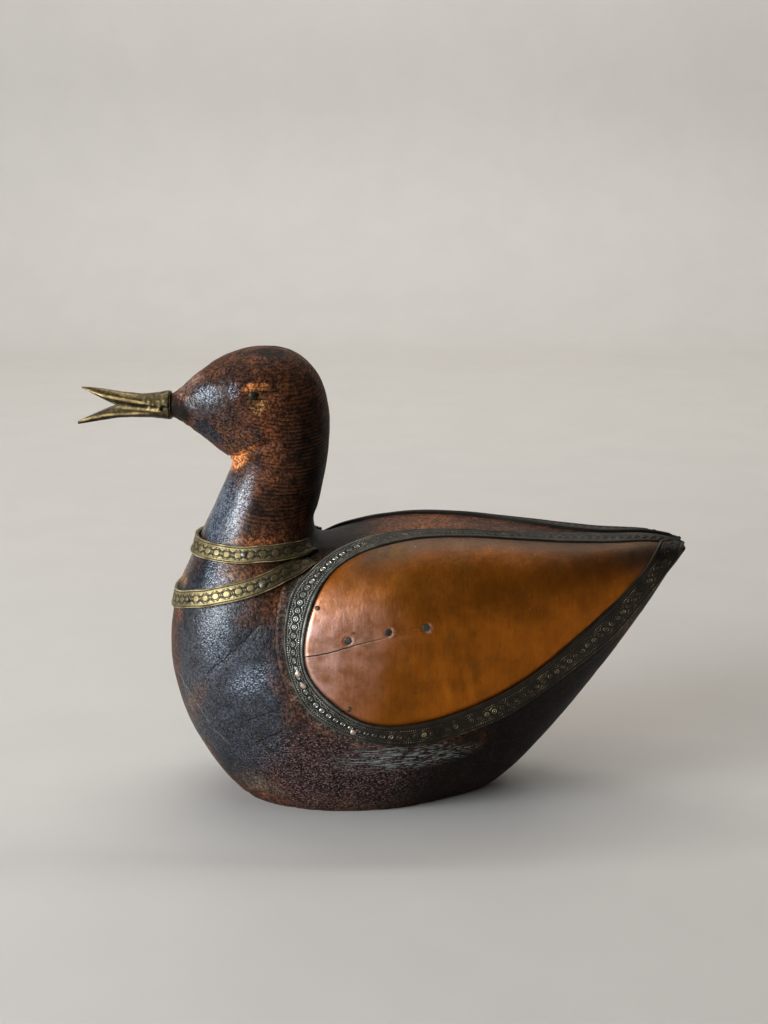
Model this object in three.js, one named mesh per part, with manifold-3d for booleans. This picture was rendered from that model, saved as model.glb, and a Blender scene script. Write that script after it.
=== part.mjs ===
// A carved wooden duck with copper wing panels, embossed metal strips and an open brass beak.
// Units are millimetres. The beak points to -X, the tail to +X, the left side to -Y and +Z is up.
// The origin is on the ground under the middle of the whole duck, between beak tip and tail end.

import * as THREE from 'three';
import { mergeVertices } from 'three/addons/utils/BufferGeometryUtils.js';
import Module from 'manifold-3d';

const wasm = await Module();
wasm.setup();

// Driving dimensions of the carving
// Each section is a flat cut from the back line to the front line. A row gives the point of the back
// line, the point of the front line, the half width, how far down the cut it is widest, and how
// square the cut is above and below that place (2 is an ellipse).
const SECTIONS = [
  [[124.3, 104.6], [123.9, 101.9], 4.2, 0.45, 2.0, 1.9], // tail end
  [[118.6, 106.2], [117.8, 92.0], 9.4, 0.3, 2.2, 1.8], // tail tip
  [[109.0, 107.9], [108.2, 76.0], 14.0, 0.27, 2.4, 1.8], // tail
  [[94.0, 108.6], [93.2, 54.0], 21.0, 0.28, 2.7, 1.8], // tail root
  [[74.0, 109.9], [72.8, 27.5], 29.8, 0.3, 3.0, 1.9], // rump
  [[52.0, 112.2], [49.0, 2.5], 36.6, 0.34, 3.0, 2.0], // loin
  [[32.0, 114.1], [26.0, -9.0], 41.0, 0.37, 3.0, 2.1], // hind flank
  [[13.0, 114.5], [2.0, -17.0], 43.6, 0.39, 3.0, 2.4], // flank
  [[-3.0, 113.0], [-24.0, -18.0], 44.2, 0.41, 2.9, 2.5], // fore flank
  [[-14.5, 110.6], [-46.0, -11.0], 43.2, 0.43, 2.8, 2.4], // shoulder
  [[-22.5, 109.0], [-66.5, 5.0], 41.2, 0.46, 2.6, 2.2], // low breast
  [[-26.2, 109.2], [-82.6, 31.0], 38.8, 0.5, 2.4, 2.1], // breast
  [[-27.6, 110.6], [-89.4, 58.0], 36.0, 0.52, 2.2, 2.0], // high breast
  [[-28.3, 113.0], [-86.8, 84.0], 30.6, 0.52, 2.1, 2.0], // neck root
  [[-28.3, 117.0], [-79.4, 102.5], 24.6, 0.51, 2.1, 2.0], // low neck
  [[-26.6, 122.0], [-73.8, 114.5], 21.2, 0.5, 2.1, 2.0], // neck
  [[-24.2, 132.0], [-68.4, 126.0], 19.6, 0.5, 2.1, 2.0], // high neck
  [[-22.0, 145.0], [-62.8, 138.6], 19.2, 0.48, 2.1, 2.0], // throat
  [[-21.8, 162.0], [-63.8, 141.6], 20.2, 0.46, 2.1, 2.0], // jaw
  [[-26.4, 176.2], [-68.6, 145.4], 20.8, 0.46, 2.1, 2.0], // nape
  [[-37.0, 185.4], [-73.6, 149.4], 20.8, 0.47, 2.1, 2.0], // poll
  [[-51.6, 187.2], [-77.8, 152.6], 19.2, 0.48, 2.1, 2.0], // crown
  [[-64.6, 183.6], [-81.0, 154.8], 16.2, 0.49, 2.1, 2.0], // brow
  [[-75.0, 177.0], [-83.6, 156.4], 12.2, 0.5, 2.0, 2.0], // lore
  [[-82.2, 170.8], [-85.2, 157.2], 7.6, 0.5, 2.0, 2.0], // snout
  [[-85.8, 168.2], [-86.0, 157.0], 5.9, 0.5, 2.0, 2.0], // snout end
];
const LAST_BODY_SECTION = 14;

// A block larger than the whole duck, from which halves and levels are cut
const REACH = { length: 130, width: 60, height: 200 };

// Resolution of the faceted carving, and of the search for a place on it
const CUTS_PER_SECTION = 2;
const STEPS_PER_SIDE = 10;
const FINE_STEPS = 96;
const NORMAL_STEP = 0.05;
const HALVINGS = 30;
const SEARCH = { first: 2, coarse: 0.25, fine: 0.002 };

// The sheet metal, as heights above the wood. The strip's inner rim laps over the copper's edge.
const SHEET = { foot: 0.4, head: 1.0 };
const STRIP = { foot: 0.3, head: 1.4 };
const LAP = { start: 0.73, foot: 1.3, head: 1.9 };
const BAND = { foot: 0.3, head: 1.1 };
const PANEL = { tuck: 0.21, cuts: 20, steps: 10, tail: 108, end_margin: 0.004 };

// The sheet bridges the sharp shoulders of the tail, so there it lies a little higher
const TAIL_LIFT = { from: 84, to: 112, height: 0.95 };

// The right strip's top run is broken off short of the tail
const BROKEN_END = { from: 110.5, above: 103.5, inner_side: 1 };

// Outlines taped on the wood: the place along the duck, and the girth down the side from the middle
// of the back. Both start and end at the tail.
const OUTLINE_STEPS = 46;
const STRIP_TAPE = [
  [121.2, 5.0],
  [88, 5.2],
  [43, 13.4],
  [5, 16.8],
  [-19, 25.0],
  [-37, 44],
  [-38.4, 69],
  [-27, 95.5],
  [6, 111],
  [45, 98],
  [87.5, 60.3],
  [106, 33],
  [121.2, 5.0],
];
const COPPER_TAPE = [
  [109.5, 9.0],
  [65, 17.6],
  [12, 23.6],
  [-18.2, 32.3],
  [-29.8, 54],
  [-28.7, 78.1],
  [-6.8, 99.8],
  [22.5, 98.4],
  [57.5, 77],
  [86.6, 44.5],
  [106.1, 20],
  [109.5, 9.0],
];

// The two neck bands, as their edges cross the side view
const UPPER_BAND = { foot: 103.3, head: 110.6, front: -84, back: -23.4, lift_from: -38, lift: 0.36 };
const LOWER_BAND = { front: [-84.6, 84.6], back: [-31.6, 104.5], sag: 2.2, half: 3.7, below: 102.9 };
const LOWER_BAND_STOPS = [-96, -86, -78, -70, -62, -54, -46, -40, -33.2];

// The beak in the side view. It butts on the snout, and a gape is cut between its two mandibles.
const BEAK = {
  base: -86.6,
  tip: -124.3,
  top: [[-86.6, 168.3], [-97.5, 167.5], [-105.5, 168.1], [-113.5, 169.4], [-118, 170.1], [-124.3, 170.5]],
  bottom: [[-86.6, 157.0], [-94, 157.8], [-102, 157.9], [-110, 157.5], [-116, 156.6], [-124.3, 155.0]],
  half: [[-86.6, 5.6], [-97.5, 4.9], [-107, 4.4], [-113, 3.5], [-118, 2.4], [-124.3, 1.2]],
  roof: [[-107, 163.1], [-112, 165.4], [-116, 167.3], [-119.6, 169.1], [-122, 170.0], [-122.2, 172]],
  floor: [[-107, 163.1], [-112, 160.6], [-116, 158.2], [-120.5, 156.3], [-124.6, 155.4]],
  gape_end: -126,
  cuts: 10,
  sides: 16,
};

// Nails and tacks: a flat head on a round shank in a drilled hole. The seat is the height of the
// head's underside above the wood, and a clear gap keeps it off the metal.
const CLEAR = 0.3;
const PANEL_NAIL = { head: 1.45, rise: 0.4, shank: 0.8, length: 8, sides: 8, seat: SHEET.head + CLEAR };
const EDGE_TACK = { head: 1.0, rise: 0.3, shank: 0.55, length: 6, sides: 6, seat: SHEET.head + CLEAR };
const BORDER_TACK = { head: 1.1, rise: 0.3, shank: 0.55, length: 6, sides: 6, seat: LAP.head + CLEAR };
const BAND_TACK = { head: 1.1, rise: 0.3, shank: 0.55, length: 6, sides: 6, seat: BAND.head + CLEAR };
const EYE_PIN = { head: 1.45, rise: 0.8, shank: 0.8, length: 7, sides: 8, seat: CLEAR };
const HEAD_TAPER = 0.85;
const DRILL = { clearance: 0.35, run_out: 1 };

// Places of the nails in the side view, along the duck and up its side
const PANEL_NAILS = [
  [-14.0, 76.8],
  [1.6, 80.5],
  [16.2, 82.4],
];
const EDGE_TACKS = [
  [-26.0, 88.6],
  [-13.5, 49.4],
];
const BORDER_TACKS = [
  [-33.6, 63.6],
  [-31.4, 58.6],
  [-12.1, 39.8],
];
const UPPER_BAND_TACKS = [[-55.3, 107.0]];
const LOWER_BAND_TACKS = [
  [-47.9, 96.1],
  [-78.1, 87.5],
];
const EYES = [[-51.2, 170.2]];

// Materials
function finish(color, roughness, metalness) {
  return new THREE.MeshStandardMaterial({ color, roughness, metalness });
}

const WOOD = () => finish(0x3a211a, 0.5, 0);
const COPPER = () => finish(0x9c5a34, 0.38, 1);
const DARK_BRASS = () => finish(0x5d5645, 0.5, 1);
const BRASS = () => finish(0x8a7440, 0.42, 1);
const STEEL = () => finish(0x4a4a48, 0.55, 1);

// The carving as a surface
// A place on it is a station, which counts the sections, and a girth from the back line.
const FIELDS = SECTIONS.map((row) => row.flat());

const KNOTS = FIELDS.reduce((knots, row, i) => {
  if (i === 0) {
    return [0];
  }
  const last = FIELDS[i - 1];
  const back = Math.hypot(row[0] - last[0], row[1] - last[1]);
  const front = Math.hypot(row[2] - last[2], row[3] - last[3]);
  return [...knots, knots[i - 1] + Math.sqrt((back + front) / 2)];
}, []);

function slope(i, field) {
  const a = Math.max(i - 1, 0);
  const b = Math.min(i + 1, FIELDS.length - 1);
  return (FIELDS[b][field] - FIELDS[a][field]) / (KNOTS[b] - KNOTS[a]);
}

// The section at any station, on a smooth curve through the given ones
function cutAt(station) {
  const last = FIELDS.length - 1;
  const i = Math.min(Math.max(Math.floor(station), 0), last - 1);
  const f = Math.min(Math.max(station - i, 0), 1);
  const h = KNOTS[i + 1] - KNOTS[i];
  const startWeight = 2 * f ** 3 - 3 * f ** 2 + 1;
  const endWeight = 3 * f ** 2 - 2 * f ** 3;
  const startPull = (f ** 3 - 2 * f ** 2 + f) * h;
  const endPull = (f ** 3 - f ** 2) * h;
  return FIELDS[i].map((value, field) => {
    const ends = value * startWeight + FIELDS[i + 1][field] * endWeight;
    return ends + slope(i, field) * startPull + slope(i + 1, field) * endPull;
  });
}

// One side of a section from the back line to the front line, with the girth at each of its points
function sectionLine(station) {
  const [bx, bz, fx, fz, half, widest, above, below] = cutAt(station);
  const line = [];
  let girth = 0;
  for (let i = 0; i <= FINE_STEPS; i++) {
    const angle = (Math.PI * i) / FINE_STEPS;
    const upper = i <= FINE_STEPS / 2;
    const power = 2 / (upper ? above : below);
    const fall = Math.abs(Math.cos(angle)) ** power;
    const down = upper ? widest * (1 - fall) : widest + (1 - widest) * fall;
    const side = half * Math.abs(Math.sin(angle)) ** power;
    const point = new THREE.Vector3(bx + (fx - bx) * down, -side, bz + (fz - bz) * down);
    girth += i > 0 ? point.distanceTo(line[i - 1].point) : 0;
    line.push({ point, girth });
  }
  return line;
}

function alongLine(line, girth) {
  let i = 1;
  while (i < line.length - 1 && line[i].girth < girth) {
    i++;
  }
  const span = line[i].girth - line[i - 1].girth;
  const share = span > 0 ? (girth - line[i - 1].girth) / span : 0;
  return line[i - 1].point.clone().lerp(line[i].point, Math.min(Math.max(share, 0), 1));
}

const surfacePoint = (station, girth) => alongLine(sectionLine(station), girth);

// The way out of the wood on the left side at a station and girth
function outward(station, girth) {
  const ahead = surfacePoint(station + NORMAL_STEP, girth);
  const behind = surfacePoint(station - NORMAL_STEP, girth);
  const lower = surfacePoint(station, girth + 1);
  const higher = surfacePoint(station, Math.max(girth - 1, 0));
  return ahead.sub(behind).cross(lower.sub(higher)).normalize();
}

// The station at which a line of equal girth passes a place along the duck
function stationAt(x, girth) {
  let low = 0;
  let high = LAST_BODY_SECTION;
  for (let i = 0; i < HALVINGS; i++) {
    const mid = (low + high) / 2;
    if (surfacePoint(mid, girth).x > x) {
      low = mid;
    } else {
      high = mid;
    }
  }
  return (low + high) / 2;
}

// The left side's point and way out at a place of the side view
function sideSpot([x, z]) {
  let best = { gap: Infinity };
  const look = (station) => {
    for (const { point, girth } of sectionLine(station)) {
      const gap = Math.hypot(point.x - x, point.z - z);
      if (gap < best.gap) {
        best = { gap, station, girth };
      }
    }
  };
  for (let station = SEARCH.first; station < SECTIONS.length - 1; station += SEARCH.coarse) {
    look(station);
  }
  for (let step = SEARCH.coarse / 2; step > SEARCH.fine; step /= 2) {
    const { station } = best;
    look(station - step);
    look(station + step);
  }
  return { point: surfacePoint(best.station, best.girth), out: outward(best.station, best.girth) };
}

// Solids
function solid(points, triangles) {
  const mesh = new wasm.Mesh({
    numProp: 3,
    vertProperties: new Float32Array(points.flatMap((p) => [p.x, p.y, p.z])),
    triVerts: new Uint32Array(triangles.flat()),
  });
  return new wasm.Manifold(mesh);
}

function solidOf(geometry) {
  geometry.deleteAttribute('normal');
  geometry.deleteAttribute('uv');
  const merged = mergeVertices(geometry, 1e-4);
  const mesh = new wasm.Mesh({
    numProp: 3,
    vertProperties: new Float32Array(merged.attributes.position.array),
    triVerts: new Uint32Array(merged.index.array),
  });
  return new wasm.Manifold(mesh);
}

function geometryOf(manifold) {
  const mesh = manifold.getMesh();
  const geometry = new THREE.BufferGeometry();
  geometry.setAttribute('position', new THREE.BufferAttribute(new Float32Array(mesh.vertProperties), 3));
  geometry.setIndex(new THREE.BufferAttribute(new Uint32Array(mesh.triVerts), 1));
  geometry.computeVertexNormals();
  return geometry;
}

function block([xMin, xMax], [yMin, yMax], [zMin, zMax]) {
  const geometry = new THREE.BoxGeometry(xMax - xMin, yMax - yMin, zMax - zMin);
  geometry.translate((xMin + xMax) / 2, (yMin + yMax) / 2, (zMin + zMax) / 2);
  return solidOf(geometry);
}

// Rings of equal length joined into a skin. A round skin closes on its first ring, and any other
// ends in fans to the two given points.
function loft(rings, ends) {
  const count = rings[0].length;
  const points = rings.flat();
  const triangles = [];
  const last = ends ? rings.length - 1 : rings.length;
  for (let r = 0; r < last; r++) {
    for (let i = 0; i < count; i++) {
      const a = r * count + i;
      const b = r * count + ((i + 1) % count);
      const c = ((r + 1) % rings.length) * count + i;
      const d = ((r + 1) % rings.length) * count + ((i + 1) % count);
      triangles.push([a, d, b], [a, c, d]);
    }
  }
  if (ends) {
    const first = points.push(ends[0]) - 1;
    const final = points.push(ends[1]) - 1;
    for (let i = 0; i < count; i++) {
      const j = (i + 1) % count;
      triangles.push([first, i, j], [final, last * count + j, last * count + i]);
    }
  }
  return solid(points, triangles);
}

const middleOf = (ring) => ring.reduce((sum, p) => sum.add(p), new THREE.Vector3()).divideScalar(ring.length);
const middlesOf = (rings) => [middleOf(rings[0]), middleOf(rings[rings.length - 1])];
const mirrored = (manifold) => manifold.mirror([0, 1, 0]);

// The whole carving, grown outwards by a height above the wood
function carving(height) {
  const rings = [];
  for (let i = 0; i <= (SECTIONS.length - 1) * CUTS_PER_SECTION; i++) {
    const line = sectionLine(i / CUTS_PER_SECTION);
    const length = line[line.length - 1].girth;
    const left = [];
    for (let k = 0; k <= STEPS_PER_SIDE; k++) {
      left.push(alongLine(line, (length * k) / STEPS_PER_SIDE));
    }
    const right = left.slice(1, -1).reverse();
    rings.push([...left, ...right.map((p) => new THREE.Vector3(p.x, -p.y, p.z))]);
  }
  const skin = height === 0 ? rings : grown(rings, height);
  return loft(skin, middlesOf(skin));
}

function endShift(r, count, height) {
  if (r === 0) {
    return height;
  }
  return r === count - 1 ? -height : 0;
}

function grown(rings, height) {
  const count = rings[0].length;
  return rings.map((ring, r) =>
    ring.map((point, i) => {
      const before = rings[Math.max(r - 1, 0)][i];
      const after = rings[Math.min(r + 1, rings.length - 1)][i];
      const along = after.clone().sub(before);
      const round = ring[(i + 1) % count].clone().sub(ring[(i + count - 1) % count]);
      const out = along.cross(round).normalize();
      const moved = point.clone().addScaledVector(out, height);
      moved.x += endShift(r, rings.length, height);
      return moved;
    }),
  );
}

// The wing's sheet metal, laid on the left side
function onWood([x, girth], height) {
  const station = stationAt(x, girth);
  const lift = TAIL_LIFT.height * THREE.MathUtils.smoothstep(x, TAIL_LIFT.from, TAIL_LIFT.to);
  return surfacePoint(station, girth).addScaledVector(outward(station, girth), height + lift);
}

function tapedOutline(tape) {
  const curve = new THREE.SplineCurve(tape.map(([x, girth]) => new THREE.Vector2(x, girth)));
  const places = [];
  for (let i = 0; i < OUTLINE_STEPS; i++) {
    const { x, y } = curve.getPointAt(1 - i / OUTLINE_STEPS);
    places.push([x, y]);
  }
  return places;
}

const between = (a, b, share) => a.map((value, k) => value + (b[k] - value) * share);

// The lowest and highest girth at which an outline is crossed at a place along the duck
function crossings(outline, x) {
  const found = [];
  outline.forEach((a, i) => {
    const b = outline[(i + 1) % outline.length];
    if (a[0] < x !== b[0] < x) {
      found.push(a[1] + ((x - a[0]) / (b[0] - a[0])) * (b[1] - a[1]));
    }
  });
  return [Math.min(...found), Math.max(...found)];
}

// A share that runs from just over 0 to just under 1, closer together towards both ends
function easedShare(i) {
  const eased = (1 - Math.cos((Math.PI * i) / PANEL.cuts)) / 2;
  return PANEL.end_margin + (1 - 2 * PANEL.end_margin) * eased;
}

function wingPanel() {
  const strip = tapedOutline(STRIP_TAPE);
  const edge = tapedOutline(COPPER_TAPE).map((place, i) => between(place, strip[i], PANEL.tuck));
  const places = edge.map(([x]) => x);
  const nose = Math.min(...places);
  const tail = Math.min(Math.max(...places), PANEL.tail);
  const rings = [];
  for (let i = 0; i <= PANEL.cuts; i++) {
    const x = tail - (tail - nose) * easedShare(i);
    const [top, bottom] = crossings(edge, x);
    const line = [];
    for (let k = 0; k <= PANEL.steps; k++) {
      line.push([x, top + ((bottom - top) * k) / PANEL.steps]);
    }
    const over = line.map((place) => onWood(place, SHEET.head));
    const under = line.map((place) => onWood(place, SHEET.foot)).reverse();
    rings.push([...over, ...under]);
  }
  return loft(rings, middlesOf(rings));
}

function wingBorder() {
  const outer = tapedOutline(STRIP_TAPE);
  const inner = tapedOutline(COPPER_TAPE);
  const section = [
    [0, STRIP.foot],
    [LAP.start / 2, STRIP.foot],
    [LAP.start, STRIP.foot],
    [LAP.start, LAP.foot],
    [1, LAP.foot],
    [1, LAP.head],
    [LAP.start, LAP.head],
    [0, STRIP.head],
  ];
  const rings = outer.map((place, i) =>
    section.map(([share, height]) => onWood(between(place, inner[i], share), height)),
  );
  return loft(rings);
}

// The neck bands, cut from a shell of the carving's own form

// A region of the side view, as a prism right through the duck
function sideRegion(outline) {
  const shape = new THREE.Shape(outline.map(([x, z]) => new THREE.Vector2(x, z)));
  const depth = 2 * REACH.width;
  const geometry = new THREE.ExtrudeGeometry(shape, { depth, bevelEnabled: false, steps: 1 });
  geometry.rotateX(Math.PI / 2);
  geometry.translate(0, REACH.width, 0);
  return solidOf(geometry);
}

function upperBandRegion() {
  const { foot, head, front, back, lift_from: turn, lift } = UPPER_BAND;
  const liftedFoot = foot + lift * (back - turn);
  return [
    [front, foot],
    [turn, foot],
    [back, liftedFoot],
    [back, head],
    [front, head],
  ];
}

function lowerBandRegion() {
  const { front, back, sag, half } = LOWER_BAND;
  const line = (x, side) => {
    const share = (x - front[0]) / (back[0] - front[0]);
    const level = front[1] + share * (back[1] - front[1]) - 4 * sag * share * (1 - share);
    return [x, level + side * half];
  };
  const under = LOWER_BAND_STOPS.map((x) => line(x, -1));
  const over = LOWER_BAND_STOPS.map((x) => line(x, 1)).reverse();
  return [...under, ...over];
}

// The beak
function lineOf(points) {
  return (x) => {
    let i = 1;
    while (i < points.length - 1 && x < points[i][0]) {
      i++;
    }
    const share = (x - points[i - 1][0]) / (points[i][0] - points[i - 1][0]);
    return points[i - 1][1] + share * (points[i][1] - points[i - 1][1]);
  };
}

function beakRing(x, [top, bottom, half]) {
  const middle = (top(x) + bottom(x)) / 2;
  const rise = (top(x) - bottom(x)) / 2;
  const ring = [];
  for (let i = 0; i < BEAK.sides; i++) {
    const angle = (2 * Math.PI * (i + 0.5)) / BEAK.sides;
    ring.push(new THREE.Vector3(x, half(x) * Math.cos(angle), middle + rise * Math.sin(angle)));
  }
  return ring;
}

function beakSolid() {
  const lines = [lineOf(BEAK.top), lineOf(BEAK.bottom), lineOf(BEAK.half)];
  const rings = [];
  for (let c = 0; c <= BEAK.cuts; c++) {
    rings.push(beakRing(BEAK.base + ((BEAK.tip - BEAK.base) * c) / BEAK.cuts, lines));
  }
  const { roof, floor, gape_end: end } = BEAK;
  const open = [[end, roof[roof.length - 1][1]], [end, floor[floor.length - 1][1]]];
  const gape = [...roof, ...open, ...floor.slice(1).reverse()];
  return loft(rings, middlesOf(rings)).subtract(sideRegion(gape));
}

// Nails and tacks
function lathe(profile, sides, spot) {
  const geometry = new THREE.LatheGeometry(profile.map(([r, h]) => new THREE.Vector2(r, h)), sides);
  const turn = new THREE.Quaternion().setFromUnitVectors(new THREE.Vector3(0, 1, 0), spot.out);
  geometry.applyQuaternion(turn);
  geometry.translate(spot.point.x, spot.point.y, spot.point.z);
  return solidOf(geometry);
}

function nail({ head, rise, shank, length, sides, seat }, spot) {
  const profile = [
    [0, -length],
    [shank, -length],
    [shank, seat],
    [head, seat],
    [head * HEAD_TAPER, seat + rise],
    [0, seat + rise],
  ];
  return lathe(profile, sides, spot);
}

function drill({ shank, length, sides, seat }, spot) {
  const radius = shank + DRILL.clearance;
  const bottom = -length - DRILL.clearance;
  const top = seat + DRILL.run_out;
  return lathe([[0, bottom], [radius, bottom], [radius, top], [0, top]], sides, spot);
}

const FASTENERS = [
  { name: 'panel_nail', size: PANEL_NAIL, places: PANEL_NAILS, sheet: 'panel', material: STEEL },
  { name: 'edge_tack', size: EDGE_TACK, places: EDGE_TACKS, sheet: 'panel', material: BRASS },
  { name: 'border_tack', size: BORDER_TACK, places: BORDER_TACKS, sheet: 'border', material: BRASS },
  { name: 'upper_band_tack', size: BAND_TACK, places: UPPER_BAND_TACKS, sheet: 'upper', material: STEEL },
  { name: 'lower_band_tack', size: BAND_TACK, places: LOWER_BAND_TACKS, sheet: 'lower', material: STEEL },
  { name: 'eye', size: EYE_PIN, places: EYES, sheet: 'none', material: DARK_BRASS },
];

const drilled = FASTENERS.flatMap(({ name, size, places, sheet, material }) =>
  places.map((place, i) => {
    const spot = sideSpot(place);
    const label = places.length > 1 ? `${name}_${i + 1}` : name;
    return { label, sheet, material, nail: nail(size, spot), hole: drill(size, spot) };
  }),
);

// Holes for every nail go into the wood, and each sheet has the holes of its own nails
function drillAll(manifold, piece) {
  return drilled
    .filter((item) => piece === 'wood' || item.sheet === piece)
    .reduce((result, item) => result.subtract(item.hole), manifold);
}

const drillBothSides = (manifold, piece) => mirrored(drillAll(mirrored(drillAll(manifold, piece)), piece));

// Assembly
const duck = new THREE.Group();

function add(name, manifold, material) {
  const mesh = new THREE.Mesh(geometryOf(manifold), material);
  mesh.name = name;
  duck.add(mesh);
}

const everyLength = [-REACH.length, REACH.length];
const everyWidth = [-REACH.width, REACH.width];

const wholeWood = carving(0);
const wood = wholeWood.intersect(block(everyLength, everyWidth, [0, REACH.height]));
add('body', drillBothSides(wood, 'wood'), WOOD());

const panel = drillAll(wingPanel(), 'panel');
const border = drillAll(wingBorder(), 'border');
const { from, above, inner_side: inner } = BROKEN_END;
const lostEnd = block([from, REACH.length], [-inner, REACH.width], [above, REACH.height]);
add('wing_panel_left', panel, COPPER());
add('wing_panel_right', mirrored(panel), COPPER());
add('wing_border_left', border, DARK_BRASS());
add('wing_border_right', mirrored(border).subtract(lostEnd), DARK_BRASS());

const bandShell = carving(BAND.head).subtract(carving(BAND.foot));
const underUpperBand = block(everyLength, everyWidth, [0, LOWER_BAND.below]);
const upperBand = bandShell.intersect(sideRegion(upperBandRegion()));
const lowerBand = bandShell.intersect(sideRegion(lowerBandRegion())).intersect(underUpperBand);
add('neck_band_upper', drillBothSides(upperBand, 'upper'), BRASS());
add('neck_band_lower', drillBothSides(lowerBand, 'lower'), BRASS());
add('beak', beakSolid(), BRASS());

for (const { label, material, nail: fastener } of drilled) {
  add(`${label}_left`, fastener, material());
  add(`${label}_right`, mirrored(fastener), material());
}

export default duck;
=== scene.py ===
import logging
import math
from collections.abc import Iterable, Iterator
from contextlib import contextmanager
from dataclasses import dataclass, field
from enum import Enum
from functools import reduce

import bpy
import numpy as np
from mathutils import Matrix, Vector, noise


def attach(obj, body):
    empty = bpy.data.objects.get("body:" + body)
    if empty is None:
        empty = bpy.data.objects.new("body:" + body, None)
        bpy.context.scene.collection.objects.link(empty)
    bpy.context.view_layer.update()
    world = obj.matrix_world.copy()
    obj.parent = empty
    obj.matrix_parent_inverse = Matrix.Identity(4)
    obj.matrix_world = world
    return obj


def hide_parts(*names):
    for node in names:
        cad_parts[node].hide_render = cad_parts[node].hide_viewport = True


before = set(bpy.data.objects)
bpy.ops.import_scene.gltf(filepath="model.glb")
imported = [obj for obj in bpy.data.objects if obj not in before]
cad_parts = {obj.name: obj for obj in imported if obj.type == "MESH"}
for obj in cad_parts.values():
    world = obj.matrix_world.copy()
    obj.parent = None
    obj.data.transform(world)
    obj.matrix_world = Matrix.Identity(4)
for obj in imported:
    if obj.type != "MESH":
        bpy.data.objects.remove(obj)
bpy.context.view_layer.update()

log = logging.getLogger("duck")

Array = np.ndarray
Piece = bpy.types.Object
Material = bpy.types.Material
Socket = bpy.types.NodeSocket
Pair = tuple[float, float]
Triple = tuple[float, float, float]
Line = tuple[Pair, ...]

MM = 0.001
BODY = "root"
PATCH_EDGE = (0.55, 1.15)
FAR_AWAY = 99.0
EYE = (-51.2, 170.2)


class Side(Enum):
    """The duck's left side, which the camera sees, and its right side, as signs of Y."""

    LEFT = -1
    RIGHT = 1

    @property
    def word(self) -> str:
        """The side's name as the pieces' names end in it."""
        return self.name.lower()


class Tone(Enum):
    """Colours of the aged wood, with painted shade and painted sheen among them, as linear red, green and
    blue.
    """

    BROWN = (0.080, 0.028, 0.011)
    RED_BROWN = (0.135, 0.040, 0.014)
    ORANGE = (0.56, 0.190, 0.055)
    OCHRE = (0.28, 0.130, 0.045)
    PINK_WORN = (0.26, 0.130, 0.090)
    BLUE_BLACK = (0.014, 0.017, 0.024)
    # Painted sheen: a blue-grey wash where the window's light reflects broadly.
    PAINTED_SHEEN = (0.060, 0.068, 0.088)
    NEAR_BLACK = (0.005, 0.003, 0.002)
    GREY_BROWN = (0.11, 0.078, 0.056)
    PURPLE_BROWN = (0.036, 0.018, 0.017)


# Modelling helpers


def deselect_all() -> None:
    """Leave edit mode and leave nothing selected, so that operators act on one piece only."""
    if bpy.context.object and bpy.context.object.mode != "OBJECT":
        bpy.ops.object.mode_set(mode="OBJECT")
    bpy.ops.object.select_all(action="DESELECT")


def take(piece: Piece) -> None:
    """Select one piece alone and make it the active one.

    Args:
        piece: the piece to work on.
    """
    deselect_all()
    piece.select_set(True)
    bpy.context.view_layer.objects.active = piece


def started(name: str) -> Piece:
    """Name the primitive just added, and settle its place and scale into its mesh.

    Args:
        name: the new piece's name.

    Returns:
        The new piece.
    """
    piece = bpy.context.object
    piece.name = name
    piece.data.name = name
    bpy.ops.object.transform_apply(location=True, rotation=True, scale=True)
    return piece


def points_of(piece: Piece) -> Array:
    """Read where the piece's vertices are.

    Args:
        piece: the piece to read.

    Returns:
        A row of x, y and z for each vertex.
    """
    flat = np.empty(len(piece.data.vertices) * 3)
    piece.data.vertices.foreach_get("co", flat)
    return flat.reshape(-1, 3)


def lay_points(piece: Piece, points: Array) -> None:
    """Move the piece's vertices to new places, given as rows of x, y and z."""
    piece.data.vertices.foreach_set("co", np.ascontiguousarray(points, dtype=np.float32).ravel())
    piece.data.update()


@contextmanager
def editing(piece: Piece, chosen: Array | None = None) -> Iterator[None]:
    """Open a piece in edit mode with some of it selected, and close it afterwards.

    Args:
        piece: the piece to work on.
        chosen: true or false for each vertex, or None to select the whole piece.

    Yields:
        Nothing, while the piece is open.
    """
    take(piece)
    if chosen is None:
        bpy.ops.object.mode_set(mode="EDIT")
        bpy.ops.mesh.select_all(action="SELECT")
    else:
        mesh = piece.data
        ends = np.empty(len(mesh.edges) * 2, dtype=np.int32)
        mesh.edges.foreach_get("vertices", ends)
        mesh.vertices.foreach_set("select", chosen)
        mesh.edges.foreach_set("select", chosen[ends.reshape(-1, 2)].all(axis=1))
        mesh.polygons.foreach_set("select", np.zeros(len(mesh.polygons), dtype=bool))
        bpy.ops.object.mode_set(mode="EDIT")
        bpy.ops.mesh.select_mode(type="VERT")
    yield
    bpy.ops.object.mode_set(mode="OBJECT")


def apply_modifier(piece: Piece, kind: str, **settings: object) -> None:
    """Put a modifier on a piece and apply it.

    Args:
        piece: the piece to change.
        kind: the modifier's type name.
        settings: the modifier's properties.
    """
    take(piece)
    modifier = piece.modifiers.new(kind.title(), kind)
    for key, value in settings.items():
        setattr(modifier, key, value)
    bpy.ops.object.modifier_apply(modifier=modifier.name)


def face_outwards(piece: Piece) -> None:
    """Turn all faces of a closed piece outwards."""
    with editing(piece):
        bpy.ops.mesh.normals_make_consistent(inside=False)


def smooth(piece: Piece, angle: float = 38.0) -> None:
    """Shade a piece smooth, with its sharp corners kept sharp."""
    take(piece)
    bpy.ops.object.shade_smooth_by_angle(angle=math.radians(angle))


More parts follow.
